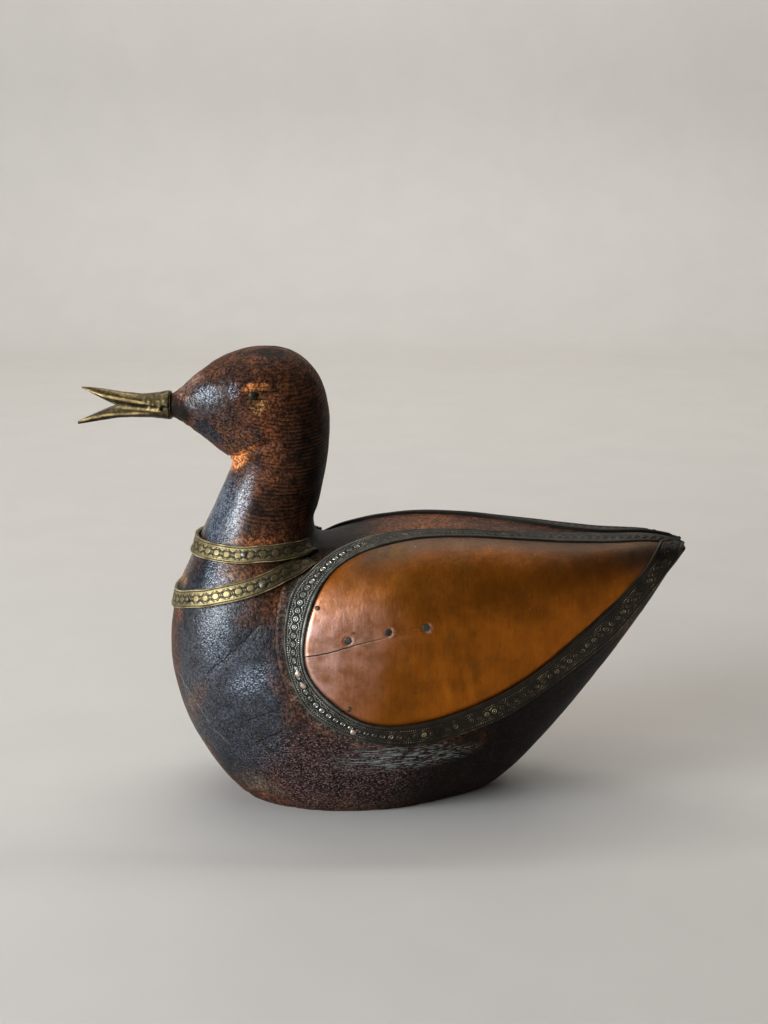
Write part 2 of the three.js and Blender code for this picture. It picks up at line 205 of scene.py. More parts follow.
def paint(piece: Piece, name: str, values: Array) -> None:
    """Store a number or a colour at each vertex, for the material to read.

    Args:
        piece: the piece to paint.
        name: the name that the material asks for.
        values: a number, or a row of three numbers, for each vertex.
    """
    if values.ndim == 1:
        layer = piece.data.attributes.new(name, "FLOAT", "POINT")
        layer.data.foreach_set("value", values.astype(np.float32))
        return
    layer = piece.data.attributes.new(name, "FLOAT_COLOR", "POINT")
    full = np.ones((len(values), 4), dtype=np.float32)
    full[:, :3] = values
    layer.data.foreach_set("color", full.ravel())


def hand_in(piece: Piece, material: Material, slot: str, *nodes: str) -> None:
    """Dress a finished piece and set it in the frame for the nodes that it stands for.

    Args:
        piece: the finished piece, in metres at its place.
        material: its finish.
        slot: not used.
        nodes: the nodes that the piece replaces.
    """
    piece.data.materials.clear()
    piece.data.materials.append(material)
    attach(piece, BODY)
    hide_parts(*nodes)
    piece.data.calc_loop_triangles()
    log.info("%s: %d triangles", piece.name, len(piece.data.loop_triangles))


# Numbers along and across


def ramp(values: Array, low: float, high: float) -> Array:
    """Ease from 0 at low to 1 at high, as a smooth step."""
    share = np.clip((values - low) / (high - low), 0, 1)
    return share * share * (3 - 2 * share)


def hump(values: Array, middle: float, width: float) -> Array:
    """A soft round ridge of height 1 at the middle."""
    return np.exp(-(((values - middle) / width) ** 2))


def read_line(line: Line, x: Array) -> Array:
    """Read a line of straight stretches, given as places and values, at other places."""
    places, values = np.array(sorted(line)).T
    return np.interp(x, places, values)


def waviness(points: Array, wavelength: float, seed: float) -> Array:
    """Smooth noise between about -1 and 1 at each place.

    Args:
        points: places in millimetres.
        wavelength: the size of its swells in millimetres.
        seed: an offset that makes this noise unlike the others.

    Returns:
        One number for each place.
    """
    scaled = points / wavelength + seed
    return np.array([noise.noise(Vector(p)) for p in scaled])


def gap_to_line(places: Array, line: Array) -> Array:
    """Measure from each place to a line of straight stretches, in two coordinates.

    Args:
        places: a row of two coordinates for each place.
        line: the same for each corner of the line.

    Returns:
        The shortest distance from each place.
    """
    best = np.full(len(places), np.inf)
    for a, b in zip(line[:-1], line[1:]):
        run = b - a
        share = np.clip(((places - a) @ run) / max(run @ run, 1e-9), 0, 1)
        near = a + share[:, None] * run
        best = np.minimum(best, np.hypot(*(places - near).T))
    return best


def within(places: Array, outline: Array) -> Array:
    """Find which places lie inside a closed outline, in two coordinates.

    Args:
        places: a row of two coordinates for each place.
        outline: the same for each corner of the outline.

    Returns:
        True or false for each place.
    """
    inside = np.zeros(len(places), dtype=bool)
    x, y = places.T
    for a, b in zip(outline, np.roll(outline, -1, axis=0)):
        crosses = (a[1] > y) != (b[1] > y)
        with np.errstate(divide="ignore", invalid="ignore"):
            at = a[0] + (y - a[1]) / (b[1] - a[1]) * (b[0] - a[0])
        inside ^= crosses & (x < at)
    return inside


@dataclass(frozen=True)
class Oval:
    """An oval on the duck's side, in millimetres, turned by some degrees."""

    middle: Pair
    size: Pair
    turn: float

    def reach(self, along: Array, up: Array) -> Array:
        """Measure how far each place lies from the oval's middle.

        Args:
            along: places along the duck.
            up: places above the ground, or round the duck's side.

        Returns:
            The distances in the oval's own radii, so 1 is on its edge.
        """
        c, s = math.cos(math.radians(self.turn)), math.sin(math.radians(self.turn))
        dx, dz = along - self.middle[0], up - self.middle[1]
        return np.hypot((c * dx + s * dz) / self.size[0], (c * dz - s * dx) / self.size[1])

    def patch(self, along: Array, up: Array) -> Array:
        """A soft patch over the oval, from 0 outside to 1 inside."""
        return 1 - ramp(self.reach(along, up), *PATCH_EDGE)


class Tape:
    """A smooth line through given points, read by its share of the whole length."""

    DENSE = 40

    def __init__(self, points: Line) -> None:
        """Draw the line.

        Args:
            points: the points that the line passes, in order.
        """
        rows = np.array([points[0], *points, points[-1]])
        steps = np.arange(self.DENSE) / self.DENSE
        stretches = [self._stretch(rows[i : i + 4], steps) for i in range(len(points) - 1)]
        self.line = np.vstack([*stretches, rows[-1]])
        lengths = np.hypot(*np.diff(self.line, axis=0).T)
        self.shares = np.concatenate([[0], np.cumsum(lengths)]) / lengths.sum()

    @staticmethod
    def _stretch(four: Array, share: Array) -> Array:
        """Draw one stretch of a Catmull-Rom curve.

        Args:
            four: four points, of which the stretch joins the middle two.
            share: shares of the way along the stretch.

        Returns:
            A point for each share.
        """
        a, b, c, d = four
        s = share[:, None]
        start, end = (c - a) / 2, (d - b) / 2
        cubic = (2 * b - 2 * c + start + end) * s**3
        square = (3 * c - 3 * b - 2 * start - end) * s**2
        return cubic + square + start * s + b

    def at(self, share: Array) -> Array:
        """The places at these shares of the length."""
        return np.stack([np.interp(share, self.shares, self.line[:, k]) for k in (0, 1)], axis=-1)


# The carving's form


@dataclass(frozen=True)
class Section:
    """A flat cut through the carving from its back line to its front line, in millimetres."""

    name: str
    back: Pair
    front: Pair
    half: float
    widest: float
    above: float
    below: float


SECTIONS = (
    Section("tail end", (124.3, 104.6), (123.9, 101.9), 4.2, 0.45, 2.0, 1.9),
    Section("tail tip", (118.6, 106.2), (117.8, 92.0), 9.4, 0.30, 2.2, 1.8),
    Section("tail", (109.0, 107.9), (108.2, 76.0), 14.0, 0.27, 2.4, 1.8),
    Section("tail root", (94.0, 108.6), (93.2, 54.0), 21.0, 0.28, 2.7, 1.8),
    Section("rump", (74.0, 109.9), (72.8, 27.5), 29.8, 0.30, 3.0, 1.9),
    Section("loin", (52.0, 112.2), (49.0, 2.5), 36.6, 0.34, 3.0, 2.0),
    Section("hind flank", (32.0, 114.1), (26.0, -9.0), 41.0, 0.37, 3.0, 2.1),
    Section("flank", (13.0, 114.5), (2.0, -17.0), 43.6, 0.39, 3.0, 2.4),
    Section("fore flank", (-3.0, 113.0), (-24.0, -18.0), 44.2, 0.41, 2.9, 2.5),
    Section("shoulder", (-14.5, 110.6), (-46.0, -11.0), 43.2, 0.43, 2.8, 2.4),
    Section("low breast", (-22.5, 109.0), (-66.5, 5.0), 41.2, 0.46, 2.6, 2.2),
    Section("breast", (-26.2, 109.2), (-82.6, 31.0), 38.8, 0.50, 2.4, 2.1),
    Section("high breast", (-27.6, 110.6), (-89.4, 58.0), 36.0, 0.52, 2.2, 2.0),
    Section("neck root", (-28.3, 113.0), (-86.8, 84.0), 30.6, 0.52, 2.1, 2.0),
    Section("low neck", (-28.3, 117.0), (-79.4, 102.5), 24.6, 0.51, 2.1, 2.0),
    Section("neck", (-26.6, 122.0), (-73.8, 114.5), 21.2, 0.50, 2.1, 2.0),
    Section("high neck", (-24.2, 132.0), (-68.4, 126.0), 19.6, 0.50, 2.1, 2.0),
    Section("throat", (-22.0, 145.0), (-62.8, 138.6), 19.2, 0.48, 2.1, 2.0),
    Section("jaw", (-21.8, 162.0), (-63.8, 141.6), 20.2, 0.46, 2.1, 2.0),
    Section("nape", (-26.4, 176.2), (-68.6, 145.4), 20.8, 0.46, 2.1, 2.0),
    Section("poll", (-37.0, 185.4), (-73.6, 149.4), 20.8, 0.47, 2.1, 2.0),
    Section("crown", (-51.6, 187.2), (-77.8, 152.6), 19.2, 0.48, 2.1, 2.0),
    Section("brow", (-64.6, 183.6), (-81.0, 154.8), 16.2, 0.49, 2.1, 2.0),
    Section("lore", (-75.0, 177.0), (-83.6, 156.4), 12.2, 0.50, 2.0, 2.0),
    Section("snout", (-82.2, 170.8), (-85.2, 157.2), 7.6, 0.50, 2.0, 2.0),
    Section("snout end", (-85.8, 168.2), (-86.0, 157.0), 5.9, 0.50, 2.0, 2.0),
)
LAST_BODY_SECTION = 14


@dataclass
class Carving:
    """The smooth outer form of the wood, on which a place is a station and a girth.

    A station counts the sections, and a girth is measured on the left side from the back line.
    """

    rows_per_section: int = 40
    section_steps: int = 192
    girth_step: float = 0.5
    halvings: int = 26
    table: Array = field(init=False)
    girths: Array = field(init=False)

    def __post_init__(self) -> None:
        """Work out the table of places that everything else is read from."""
        fields = self._fields()
        lines = self._lines(fields)
        lengths = np.linalg.norm(np.diff(lines, axis=1), axis=2)
        along = np.concatenate([np.zeros((len(lines), 1)), np.cumsum(lengths, axis=1)], axis=1)
        self.girths = along[:, -1]
        stops = np.arange(0, self.girths.max() + 2 * self.girth_step, self.girth_step)
        self.table = np.stack(
            [
                np.stack([np.interp(stops, girth, line[:, k]) for k in range(3)], axis=1)
                for girth, line in zip(along, lines)
            ]
        )

    @property
    def last(self) -> int:
        """The last station."""
        return len(SECTIONS) - 1

    def _fields(self) -> Array:
        """Draw smooth curves through the given sections' sizes.

        Returns:
            One row of sizes for each cut.
        """
        given = np.array([[*s.back, *s.front, s.half, s.widest, s.above, s.below] for s in SECTIONS])
        gaps = np.diff(given[:, :4], axis=0)
        chords = (np.hypot(gaps[:, 0], gaps[:, 1]) + np.hypot(gaps[:, 2], gaps[:, 3])) / 2
        knots = np.concatenate([[0], np.cumsum(np.sqrt(chords))])
        ahead = np.minimum(np.arange(len(given)) + 1, self.last)
        behind = np.maximum(np.arange(len(given)) - 1, 0)
        slopes = (given[ahead] - given[behind]) / (knots[ahead] - knots[behind])[:, None]
        stations = np.arange(self.last * self.rows_per_section + 1) / self.rows_per_section
        i = np.minimum(stations.astype(int), self.last - 1)
        f = (stations - i)[:, None]
        pull = (knots[i + 1] - knots[i])[:, None]
        start = given[i] * (2 * f**3 - 3 * f**2 + 1) + slopes[i] * pull * (f**3 - 2 * f**2 + f)
        end = given[i + 1] * (3 * f**2 - 2 * f**3) + slopes[i + 1] * pull * (f**3 - f**2)
        return start + end

    def _lines(self, fields: Array) -> Array:
        """Draw the left half of each cut.

        Args:
            fields: one row of sizes for each cut.

        Returns:
            For each cut, its points from the back line to the front line.
        """
        bx, bz, fx, fz, half, widest, above, below = (fields[:, k : k + 1] for k in range(8))
        angle = np.linspace(0, math.pi, self.section_steps + 1)[None, :]
        upper = angle <= math.pi / 2
        power = np.where(upper, 2 / above, 2 / below)
        fall = np.abs(np.cos(angle)) ** power
        down = np.where(upper, widest * (1 - fall), widest + (1 - widest) * fall)
        side = half * np.abs(np.sin(angle)) ** power
        return np.stack([bx + (fx - bx) * down, -side, bz + (fz - bz) * down], axis=2)

    def place(self, station: Array, girth: Array) -> Array:
        """Find points of the left side.

        Args:
            station: their stations.
            girth: their girths.

        Returns:
            The points in millimetres.
        """
        rows, columns = self.table.shape[:2]
        r = np.clip(np.asarray(station) * self.rows_per_section, 0, rows - 1.001)
        c = np.clip(np.asarray(girth) / self.girth_step, 0, columns - 1.001)
        i, j = r.astype(int), c.astype(int)
        f, g = (r - i)[..., None], (c - j)[..., None]
        low = self.table[i, j] * (1 - g) + self.table[i, j + 1] * g
        high = self.table[i + 1, j] * (1 - g) + self.table[i + 1, j + 1] * g
        return low * (1 - f) + high * f

    def whole_girth(self, station: Array) -> Array:
        """The length of the cut's left half, from back line to front line."""
        return np.interp(station, np.arange(len(self.girths)) / self.rows_per_section, self.girths)

    def outward(self, station: Array, girth: Array) -> Array:
        """Find the directions out of the wood on the left side.

        Args:
            station: the places' stations.
            girth: the places' girths.

        Returns:
            A direction of length 1 for each place.
        """
        step = 0.05
        along = self.place(station + step, girth) - self.place(station - step, girth)
        round_ = self.place(station, girth + 1) - self.place(station, np.maximum(girth - 1, 0))
        out = np.cross(along, round_)
        return out / np.maximum(np.linalg.norm(out, axis=-1, keepdims=True), 1e-9)

    def at_share(self, station: Array, share: Array) -> Array:
        """The left side's points at these stations and shares of the way round from the back line."""
        return self.place(station, np.clip(share, 0, 1) * self.whole_girth(station))

    def walk(self, station: Array, share: Array, way: Array, step: float) -> tuple[Array, Array]:
        """Go a short way over the left side's surface.

        Args:
            station: the stations to start from.
            share: the shares of the way round to start from.
            way: the directions to go, one row each.
            step: how far to go in millimetres.

        Returns:
            The stations and shares arrived at.
        """
        small = 0.01
        forward = self.at_share(station + 0.05, share) - self.at_share(station - 0.05, share)
        low, high = np.clip(share - small, 0, 1), np.clip(share + small, 0, 1)
        round_ = (self.at_share(station, high) - self.at_share(station, low)) / (high - low)[:, None]
        forward = forward / 0.1
        a = (forward * forward).sum(axis=1)
        b = (forward * round_).sum(axis=1)
        c = (round_ * round_).sum(axis=1)
        p = (way * forward).sum(axis=1)
        q = (way * round_).sum(axis=1)
        det = a * c - b * b
        return station + step * (c * p - b * q) / det, np.clip(share + step * (a * q - b * p) / det, 0, 1)

    def station_at(self, x: Array, girth: Array) -> Array:
        """Find the station at which a line of equal girth passes each place along the duck.

        Args:
            x: the places along the duck.
            girth: their girths.

        Returns:
            Their stations.
        """
        low = np.zeros_like(x)
        high = np.full_like(x, LAST_BODY_SECTION)
        for _ in range(self.halvings):
            mid = (low + high) / 2
            before = self.place(mid, girth)[..., 0] > x
            low = np.where(before, mid, low)
            high = np.where(before, high, mid)
        return (low + high) / 2

    def side_spot(self, x: float, z: float) -> tuple[Array, Array, Pair]:
        """The left side's point at a place of the side view.

        Args:
            x: the place along the duck.
            z: the place above the ground.

        Returns:
            The point, the direction out of the wood, and the station and girth.
        """
        gap = np.hypot(self.table[:, :, 0] - x, self.table[:, :, 2] - z)
        row, column = np.unravel_index(np.argmin(gap), gap.shape)
        station = np.array([row / self.rows_per_section])
        girth = np.array([column * self.girth_step])
        spot = (float(station[0]), float(girth[0]))
        return self.place(station, girth)[0], self.outward(station, girth)[0], spot


# Materials


class Recipe:
    """A material's node tree, written as short calls."""

    NOISE_ROUGH = 0.55
    MIX_SHARE = 0
    MIX_A = 6
    MIX_B = 7
    MIX_RESULT = 2

    def __init__(self, name: str) -> None:
        """Start a material whose coordinates are millimetres of the object.

        Args:
            name: the material's name.
        """
        self.material = bpy.data.materials.new(name)
        self.material.use_nodes = True
        self.tree = self.material.node_tree
        self.tree.nodes.clear()
        self.shader = self.tree.nodes.new("ShaderNodeBsdfPrincipled")
        output = self.tree.nodes.new("ShaderNodeOutputMaterial")
        self.put(self.shader.outputs[0], output.inputs[0])
        coordinates = self.tree.nodes.new("ShaderNodeTexCoord").outputs["Object"]
        self.mm = self.stretch(coordinates, (1 / MM, 1 / MM, 1 / MM))

    def put(self, value: object, target: Socket) -> None:
        """Link a socket into another, or set a plain value on it.

        Args:
            value: the socket to link, or a number, colour or vector.
            target: the socket to fill.
        """
        if isinstance(value, Socket):
            self.tree.links.new(value, target)
        elif target.type == "RGBA":
            target.default_value = (*value, 1.0)
        else:
            target.default_value = value

    def node(self, kind: str, inputs: dict[int | str, object], **settings: object) -> bpy.types.Node:
        """Add a node and fill it in.

        Args:
            kind: the node's type, without its common first part.
            inputs: what goes into its inputs, by number or name.
            settings: its properties.

        Returns:
            The node.
        """
        node = self.tree.nodes.new(f"ShaderNode{kind}")
        for key, value in settings.items():
            setattr(node, key, value)
        for key, value in inputs.items():
            self.put(value, node.inputs[key])
        return node

    def stretch(self, vector: Socket, scale: Triple) -> Socket:
        """Multiply a vector by a scale for each axis."""
        return self.node("VectorMath", {0: vector, 1: scale}, operation="MULTIPLY").outputs[0]

    def noise(self, size: float, detail: float, stretch: Triple | None = None) -> Socket:
        """Noise from 0 to 1.

        Args:
            size: the size of its spots in millimetres.
            detail: how many finer layers it has.
            stretch: how much it is squeezed along each axis.

        Returns:
            The noise.
        """
        place = self.stretch(self.mm, stretch) if stretch else self.mm
        inputs = {"Vector": place, "Scale": 1 / size, "Detail": detail, "Roughness": self.NOISE_ROUGH}
        return self.node("TexNoise", inputs).outputs["Fac"]

    def math(self, operation: str, *values: object) -> Socket:
        """A math node on one, two or three values."""
        return self.node("Math", dict(enumerate(values)), operation=operation).outputs[0]

    def times(self, *values: object) -> Socket:
        """The product of several values."""
        return reduce(lambda a, b: self.math("MULTIPLY", a, b), values)

    def plus(self, *values: object) -> Socket:
        """The sum of several values."""
        return reduce(lambda a, b: self.math("ADD", a, b), values)

    def less(self, a: object, b: object) -> Socket:
        """The first value less the second."""
        return self.math("SUBTRACT", a, b)

    def ease(self, value: object, low: float, high: float, start: float = 0.0, end: float = 1.0) -> Socket:
        """Ease a value from the range low to high into start to end, clamped at both ends."""
        inputs = dict(enumerate((value, low, high, start, end)))
        return self.node("MapRange", inputs, interpolation_type="SMOOTHSTEP").outputs[0]

    def mix(self, share: object, a: object, b: object) -> Socket:
        """Mix two colours.

        Args:
            share: how much of the second colour there is.
            a: the first colour.
            b: the second colour.

        Returns:
            The mixed colour.
        """
        node = self.node("Mix", {}, data_type="RGBA", clamp_factor=True)
        for value, number in ((share, self.MIX_SHARE), (a, self.MIX_A), (b, self.MIX_B)):
            self.put(value, node.inputs[number])
        return node.outputs[self.MIX_RESULT]

    def shade(self, color: object, strength: object) -> Socket:
        """Multiply a colour by a brightness, which may be over 1."""
        return self.node("VectorMath", {0: color, "Scale": strength}, operation="SCALE").outputs[0]

    def attribute(self, name: str, output: str = "Fac") -> Socket:
        """What the mesh stores at its vertices under a name."""
        return self.node("Attribute", {}, attribute_name=name).outputs[output]

    def axis(self, index: int) -> Socket:
        """One of the three coordinates in millimetres."""
        return self.node("SeparateXYZ", {0: self.mm}).outputs[index]

    def scratch(self, start: Pair, end: Pair, half: float, wander: Socket) -> Socket:
        """A thin line in the side view of the left side, from 0 beside it to 1 on it.

        Args:
            start: one end, along the duck and up.
            end: the other end.
            half: half its width in millimetres.
            wander: how far the line wanders, in millimetres.

        Returns:
            How much of the line each place has.
        """
        fade = 2.0
        run = (end[0] - start[0], end[1] - start[1])
        length = math.hypot(*run)
        dx = self.less(self.axis(0), start[0])
        dz = self.less(self.axis(2), start[1])
        along = self.plus(self.times(dx, run[0] / length), self.times(dz, run[1] / length))
        off = self.plus(self.times(dx, -run[1] / length), self.times(dz, run[0] / length), wander)
        beside = self.ease(self.math("ABSOLUTE", off), 0.4 * half, half, 1.0, 0.0)
        before = self.ease(along, 0.0, fade)
        after = self.ease(along, length - fade, length, 1.0, 0.0)
        on_left = self.ease(self.axis(1), -1.0, 0.0, 1.0, 0.0)
        return self.times(beside, before, after, on_left)

    def bump(self, height: Socket) -> None:
        """Let a height in millimetres ripple the shader's surface.

        Args:
            height: the height.
        """
        normal = self.node("Bump", {"Strength": 1.0, "Distance": MM, "Height": height}).outputs[0]
        for name in ("Normal", "Coat Normal"):
            self.put(normal, self.shader.inputs[name])

    def coat(self, weight: object, rough: float, below: float) -> None:
        """Lay a clear coat over the shader.

        Args:
            weight: how much of it there is.
            rough: its roughness.
            below: how strongly the surface below it mirrors.
        """
        self.put(weight, self.shader.inputs["Coat Weight"])
        self.shader.inputs["Coat Roughness"].default_value = rough
        self.shader.inputs["Specular IOR Level"].default_value = below

    def finish(self, color: object, roughness: object, metallic: object) -> Material:
        """Set what the whole shader needs.

        Args:
            color: its colour.
            roughness: its roughness.
            metallic: how much of it is metal.

        Returns:
            The finished material.
        """
        self.put(color, self.shader.inputs["Base Color"])
        self.put(roughness, self.shader.inputs["Roughness"])
        self.put(metallic, self.shader.inputs["Metallic"])
        return self.material


@dataclass(frozen=True)
class AgedWood:
    """Dark wood under old paint and wax, with its growth layers standing out."""

    cracks: tuple[tuple[Pair, Pair], ...] = (
        ((-71.6, 59.4), (-57.0, 72.8)),
        ((-57.0, 72.8), (-50.5, 80.5)),
        ((-56.0, 41.0), (-40.5, 48.4)),
        ((-53.2, 31.2), (-39.4, 39.0)),
    )
    pale_line: Line = ((-84.8, 56.0), (-76.5, 46.0), (-70.5, 36.0), (-62.0, 28.5))
    crack_half: float = 0.3
    pale_half: float = 0.45
    grime: Triple = (0.080, 0.060, 0.046)
    rust: Triple = (0.15, 0.064, 0.032)
    rust_line: float = 3.5
    crest: Triple = (0.24, 0.088, 0.034)
    valley_dark: float = 0.88
    pit: Triple = (0.006, 0.004, 0.003)
    fleck: Triple = (0.23, 0.155, 0.138)
    streak: Triple = (0.24, 0.29, 0.27)
    # Painted highlight: the pale blue-white of specks where the light glints.
    frost: Triple = (0.40, 0.46, 0.57)
    pale: Triple = (0.17, 0.155, 0.14)
    crack: Triple = (0.003, 0.002, 0.002)
    coat_rough: float = 0.18
    mirror: float = 0.11

    def material(self) -> Material:
        """Mix the finish from the tones, layers, gloss, stipple and painted highlight specks that the mesh
        stores.

        Returns:
            The finished material.
        """
        r = Recipe("aged_wood")
        gloss, stipple, streaks = (r.attribute(name) for name in ("gloss", "stipple", "streaks"))
        mottle, spots, fine = r.noise(6.0, 5.0), r.noise(1.25, 3.0), r.noise(0.65, 3.0)
        ridge = self._ridge(r, spots)
        lined = r.times(r.attribute("layers"), r.ease(r.noise(2.6, 2.0, (0.34, 0.34, 1.0)), 0.36, 0.56))
        wet = r.plus(r.attribute("beside"), r.times(r.less(spots, 0.5), 1.4))
        between = r.times(r.ease(wet, 2.3, 3.3, 1.0, 0.0), r.ease(mottle, 0.3, 0.6, 0.35, 0.7))
        rust = r.less(1.0, r.ease(r.math("ABSOLUTE", r.less(wet, self.rust_line)), 0.15, 0.8))
        color = r.mix(between, r.attribute("tone", "Color"), self.grime)
        color = r.mix(r.times(rust, r.ease(mottle, 0.35, 0.6, 0.2, 0.7)), color, self.rust)
        color = r.shade(color, r.ease(mottle, 0.25, 0.75, 0.45, 1.55))
        color = r.shade(color, r.ease(spots, 0.36, 0.66, 0.32, 1.8))
        color = r.shade(color, r.ease(fine, 0.40, 0.61, 0.34, 1.75))
        color = r.shade(color, r.less(1.0, r.times(lined, r.less(1.0, ridge), self.valley_dark)))
        crest = r.times(lined, r.math("POWER", ridge, 2.5), r.ease(mottle, 0.38, 0.62), 0.6)
        color = r.mix(crest, color, self.crest)
        color = r.mix(r.times(stipple, r.ease(fine, 0.50, 0.62), 0.8), color, self.pit)
        flecks = r.ease(r.noise(0.62, 2.0, (0.7, 1.0, 1.2)), 0.54, 0.63)
        color = r.mix(r.times(r.attribute("flecks"), flecks, 0.75), color, self.fleck)
        grain = r.noise(0.42, 2.0, (0.06, 0.5, 1.0))
        color = r.mix(r.times(streaks, r.ease(grain, 0.50, 0.60), 0.9), color, self.streak)
        # Painted highlight: pale specks where the light glints.
        sparkle_specks = r.ease(r.noise(0.62, 3.0, (0.75, 1.0, 1.15)), 0.51, 0.61)
        color = r.mix(r.times(r.attribute("frost"), sparkle_specks, 0.9), color, self.frost)
        wander = r.times(r.less(r.noise(3.0, 2.0), 0.5), 2.2)
        scratched = self._drawn(r, zip(self.pale_line[:-1], self.pale_line[1:]), self.pale_half, wander)
        color = r.mix(r.times(scratched, 0.35), color, self.pale)
        cracked = self._drawn(r, self.cracks, self.crack_half, wander)
        color = r.mix(cracked, color, self.crack)
        r.bump(r.plus(
            r.times(lined, ridge, 0.14),
            r.times(r.plus(r.times(stipple, 0.28), 0.07), spots),
            r.times(r.plus(r.times(stipple, 0.11), 0.05), fine),
            r.times(streaks, grain, 0.22),
            r.times(rust, -0.25),
            r.times(cracked, -0.4),
        ))
        worn = r.times(r.ease(mottle, 0.2, 0.5, 0.6, 1.0), r.ease(r.noise(0.85, 3.0), 0.38, 0.58, 0.3, 1.0))
        r.coat(r.times(gloss, worn), self.coat_rough, self.mirror)
        return r.finish(color, r.plus(r.times(gloss, -0.20), r.times(fine, 0.14), 0.50), 0.0)

    @staticmethod
    def _ridge(r: Recipe, spots: Socket) -> Socket:
        """Draw the growth layers' ridges, a broad and a thin one for each layer.

        Args:
            r: the recipe.
            spots: noise that makes them waver.

        Returns:
            The ridges' height from 0 to 1.
        """
        phase = r.attribute("phase")
        broad = r.math("SINE", r.plus(r.times(phase, math.tau), r.times(spots, 3.4)))
        thin = r.math("SINE", r.plus(r.times(phase, 2 * math.tau), r.times(spots, 5.5), 1.3))
        return r.plus(r.times(broad, 0.33), r.times(thin, 0.17), 0.5)

    @staticmethod
    def _drawn(r: Recipe, stretches: Iterable[tuple[Pair, Pair]], half: float, wander: Socket) -> Socket:
        """Thin lines, each given by its two ends, from 0 beside them to 1 on them."""
        found = [r.scratch(start, end, half, wander) for start, end in stretches]
        return r.math("MINIMUM", r.plus(*found), 1.0)


@dataclass(frozen=True)
class AgedCopper:
    """Copper sheet, browned by age, with a painted pink shine and painted glints where the light catches it.
    """

    warm: Triple = (0.41, 0.120, 0.010)
    brown: Triple = (0.29, 0.088, 0.008)
    dull: Triple = (0.070, 0.048, 0.034)
    pink: Triple = (0.80, 0.50, 0.44)
    stain: Triple = (0.15, 0.085, 0.02)
    speck: Triple = (0.06, 0.026, 0.010)
    pale_speck: Triple = (0.62, 0.34, 0.16)
    crack: Triple = (0.006, 0.003, 0.002)
    painted_rim_glint: Triple = (0.85, 0.56, 0.42)
    metal: float = 0.94

    def material(self) -> Material:
        """Mix the finish from clouds of tarnish, stains and fine scratches.

        Returns:
            The finished material.
        """
        r = Recipe("aged_copper")
        clouds = r.noise(30.0, 3.0)
        patches = r.noise(7.0, 4.0)
        fine = r.noise(0.5, 3.0)
        brushed = r.noise(1.1, 3.0, (1.0, 1.0, 0.12))
        color = r.mix(r.ease(clouds, 0.38, 0.64), self.warm, self.brown)
        color = r.mix(r.attribute("dull"), color, self.dull)
        # Painted highlight: a pale pink shine over the front of the sheet, where the window's light reflects.
        color = r.mix(r.times(r.attribute("pink"), r.ease(patches, 0.28, 0.62, 0.35, 1.0)), color, self.pink)
        color = r.shade(color, r.ease(patches, 0.3, 0.7, 0.86, 1.12))
        color = r.shade(color, r.ease(brushed, 0.3, 0.7, 0.93, 1.06))
        color = r.shade(color, r.ease(fine, 0.3, 0.7, 0.93, 1.06))
        color = r.mix(r.times(r.ease(r.noise(8.0, 4.0), 0.58, 0.70), 0.4), color, self.stain)
        color = r.mix(r.times(r.ease(r.noise(1.5, 3.0), 0.68, 0.74), 0.75), color, self.speck)
        pale_specks = r.ease(r.noise(1.1, 2.0, (1.0, 1.0, 0.6)), 0.72, 0.77)
        color = r.mix(r.times(pale_specks, 0.5), color, self.pale_speck)
        color = r.mix(r.attribute("crack"), color, self.crack)
        # Painted highlight on the crack's lips, beside the nails and along the front edge.
        color = r.mix(r.attribute("painted_rim_glint"), color, self.painted_rim_glint)
        rough = r.plus(r.ease(clouds, 0.35, 0.65, 0.34, 0.42), r.times(patches, 0.08), r.times(fine, 0.06))
        r.bump(r.plus(r.times(fine, 0.016), r.times(brushed, 0.06), r.times(patches, 0.22)))
        return r.finish(color, rough, r.ease(r.attribute("crack"), 0.0, 0.5, self.metal, 0.0))


@dataclass(frozen=True)
class EmbossedMetal:
    """Embossed strip metal: dark in its recesses, rubbed bright on its high points, with painted light that
    makes it lighter where it faces the light and darker where it faces away.
    """

    name: str
    recess: Triple
    body: Triple
    rubbed: Triple
    dull_body: Triple
    dull_rubbed: Triple
    rough: float
    grime: float

    def material(self) -> Material:
        """Mix the finish from the relief's height, with stains in patches.

        Returns:
            The finished material.
        """
        r = Recipe(self.name)
        bright = r.attribute("bright")
        patches = r.noise(6.0, 3.0)
        fine = r.noise(0.5, 3.0)
        worn = r.plus(r.attribute("rub"), r.times(r.less(fine, 0.5), 0.9))
        # Dull and bright copies of the metal, mixed by the stored share of tarnish and painted light.
        body = r.mix(bright, self.dull_body, self.body)
        color = r.mix(r.ease(worn, 0.05, 0.42), self.recess, body)
        high = r.times(r.ease(worn, 0.55, 0.95), r.ease(patches, 0.3, 0.62))
        color = r.mix(high, color, r.mix(bright, self.dull_rubbed, self.rubbed))
        color = r.shade(color, r.ease(patches, 0.3, 0.7, 1.0 - self.grime, 1.15))
        rough = r.plus(r.ease(worn, 0.2, 0.9, self.rough + 0.18, self.rough), r.times(fine, 0.1))
        r.bump(r.plus(r.times(fine, 0.05), r.times(patches, 0.05)))
        return r.finish(color, rough, r.ease(worn, 0.05, 0.5, 0.45, 0.95))


@dataclass(frozen=True)
class PlainMetal:
    """Plain old metal of the beak, nails and pins."""

    name: str
    color: Triple
    stain: Triple
    rough: float
    metallic: float = 0.9

    def material(self) -> Material:
        """Mix the finish from stains and from the stored wear and painted light: rubbed edges, painted
        highlights and painted shade.

        Returns:
            The finished material.
        """
        r = Recipe(self.name)
        patches = r.noise(3.2, 4.0)
        fine = r.noise(0.5, 3.0)
        color = r.mix(r.ease(r.plus(patches, r.times(fine, 0.3)), 0.5, 0.8), self.color, self.stain)
        # Brightens and darkens the colour by the stored wear and painted light.
        color = r.shade(color, r.ease(r.attribute("rub"), 0.0, 1.0, 0.12, 2.6))
        r.bump(r.plus(r.times(fine, 0.05), r.times(patches, 0.08)))
        return r.finish(color, r.plus(r.times(patches, 0.25), self.rough), self.metallic)


# The wood


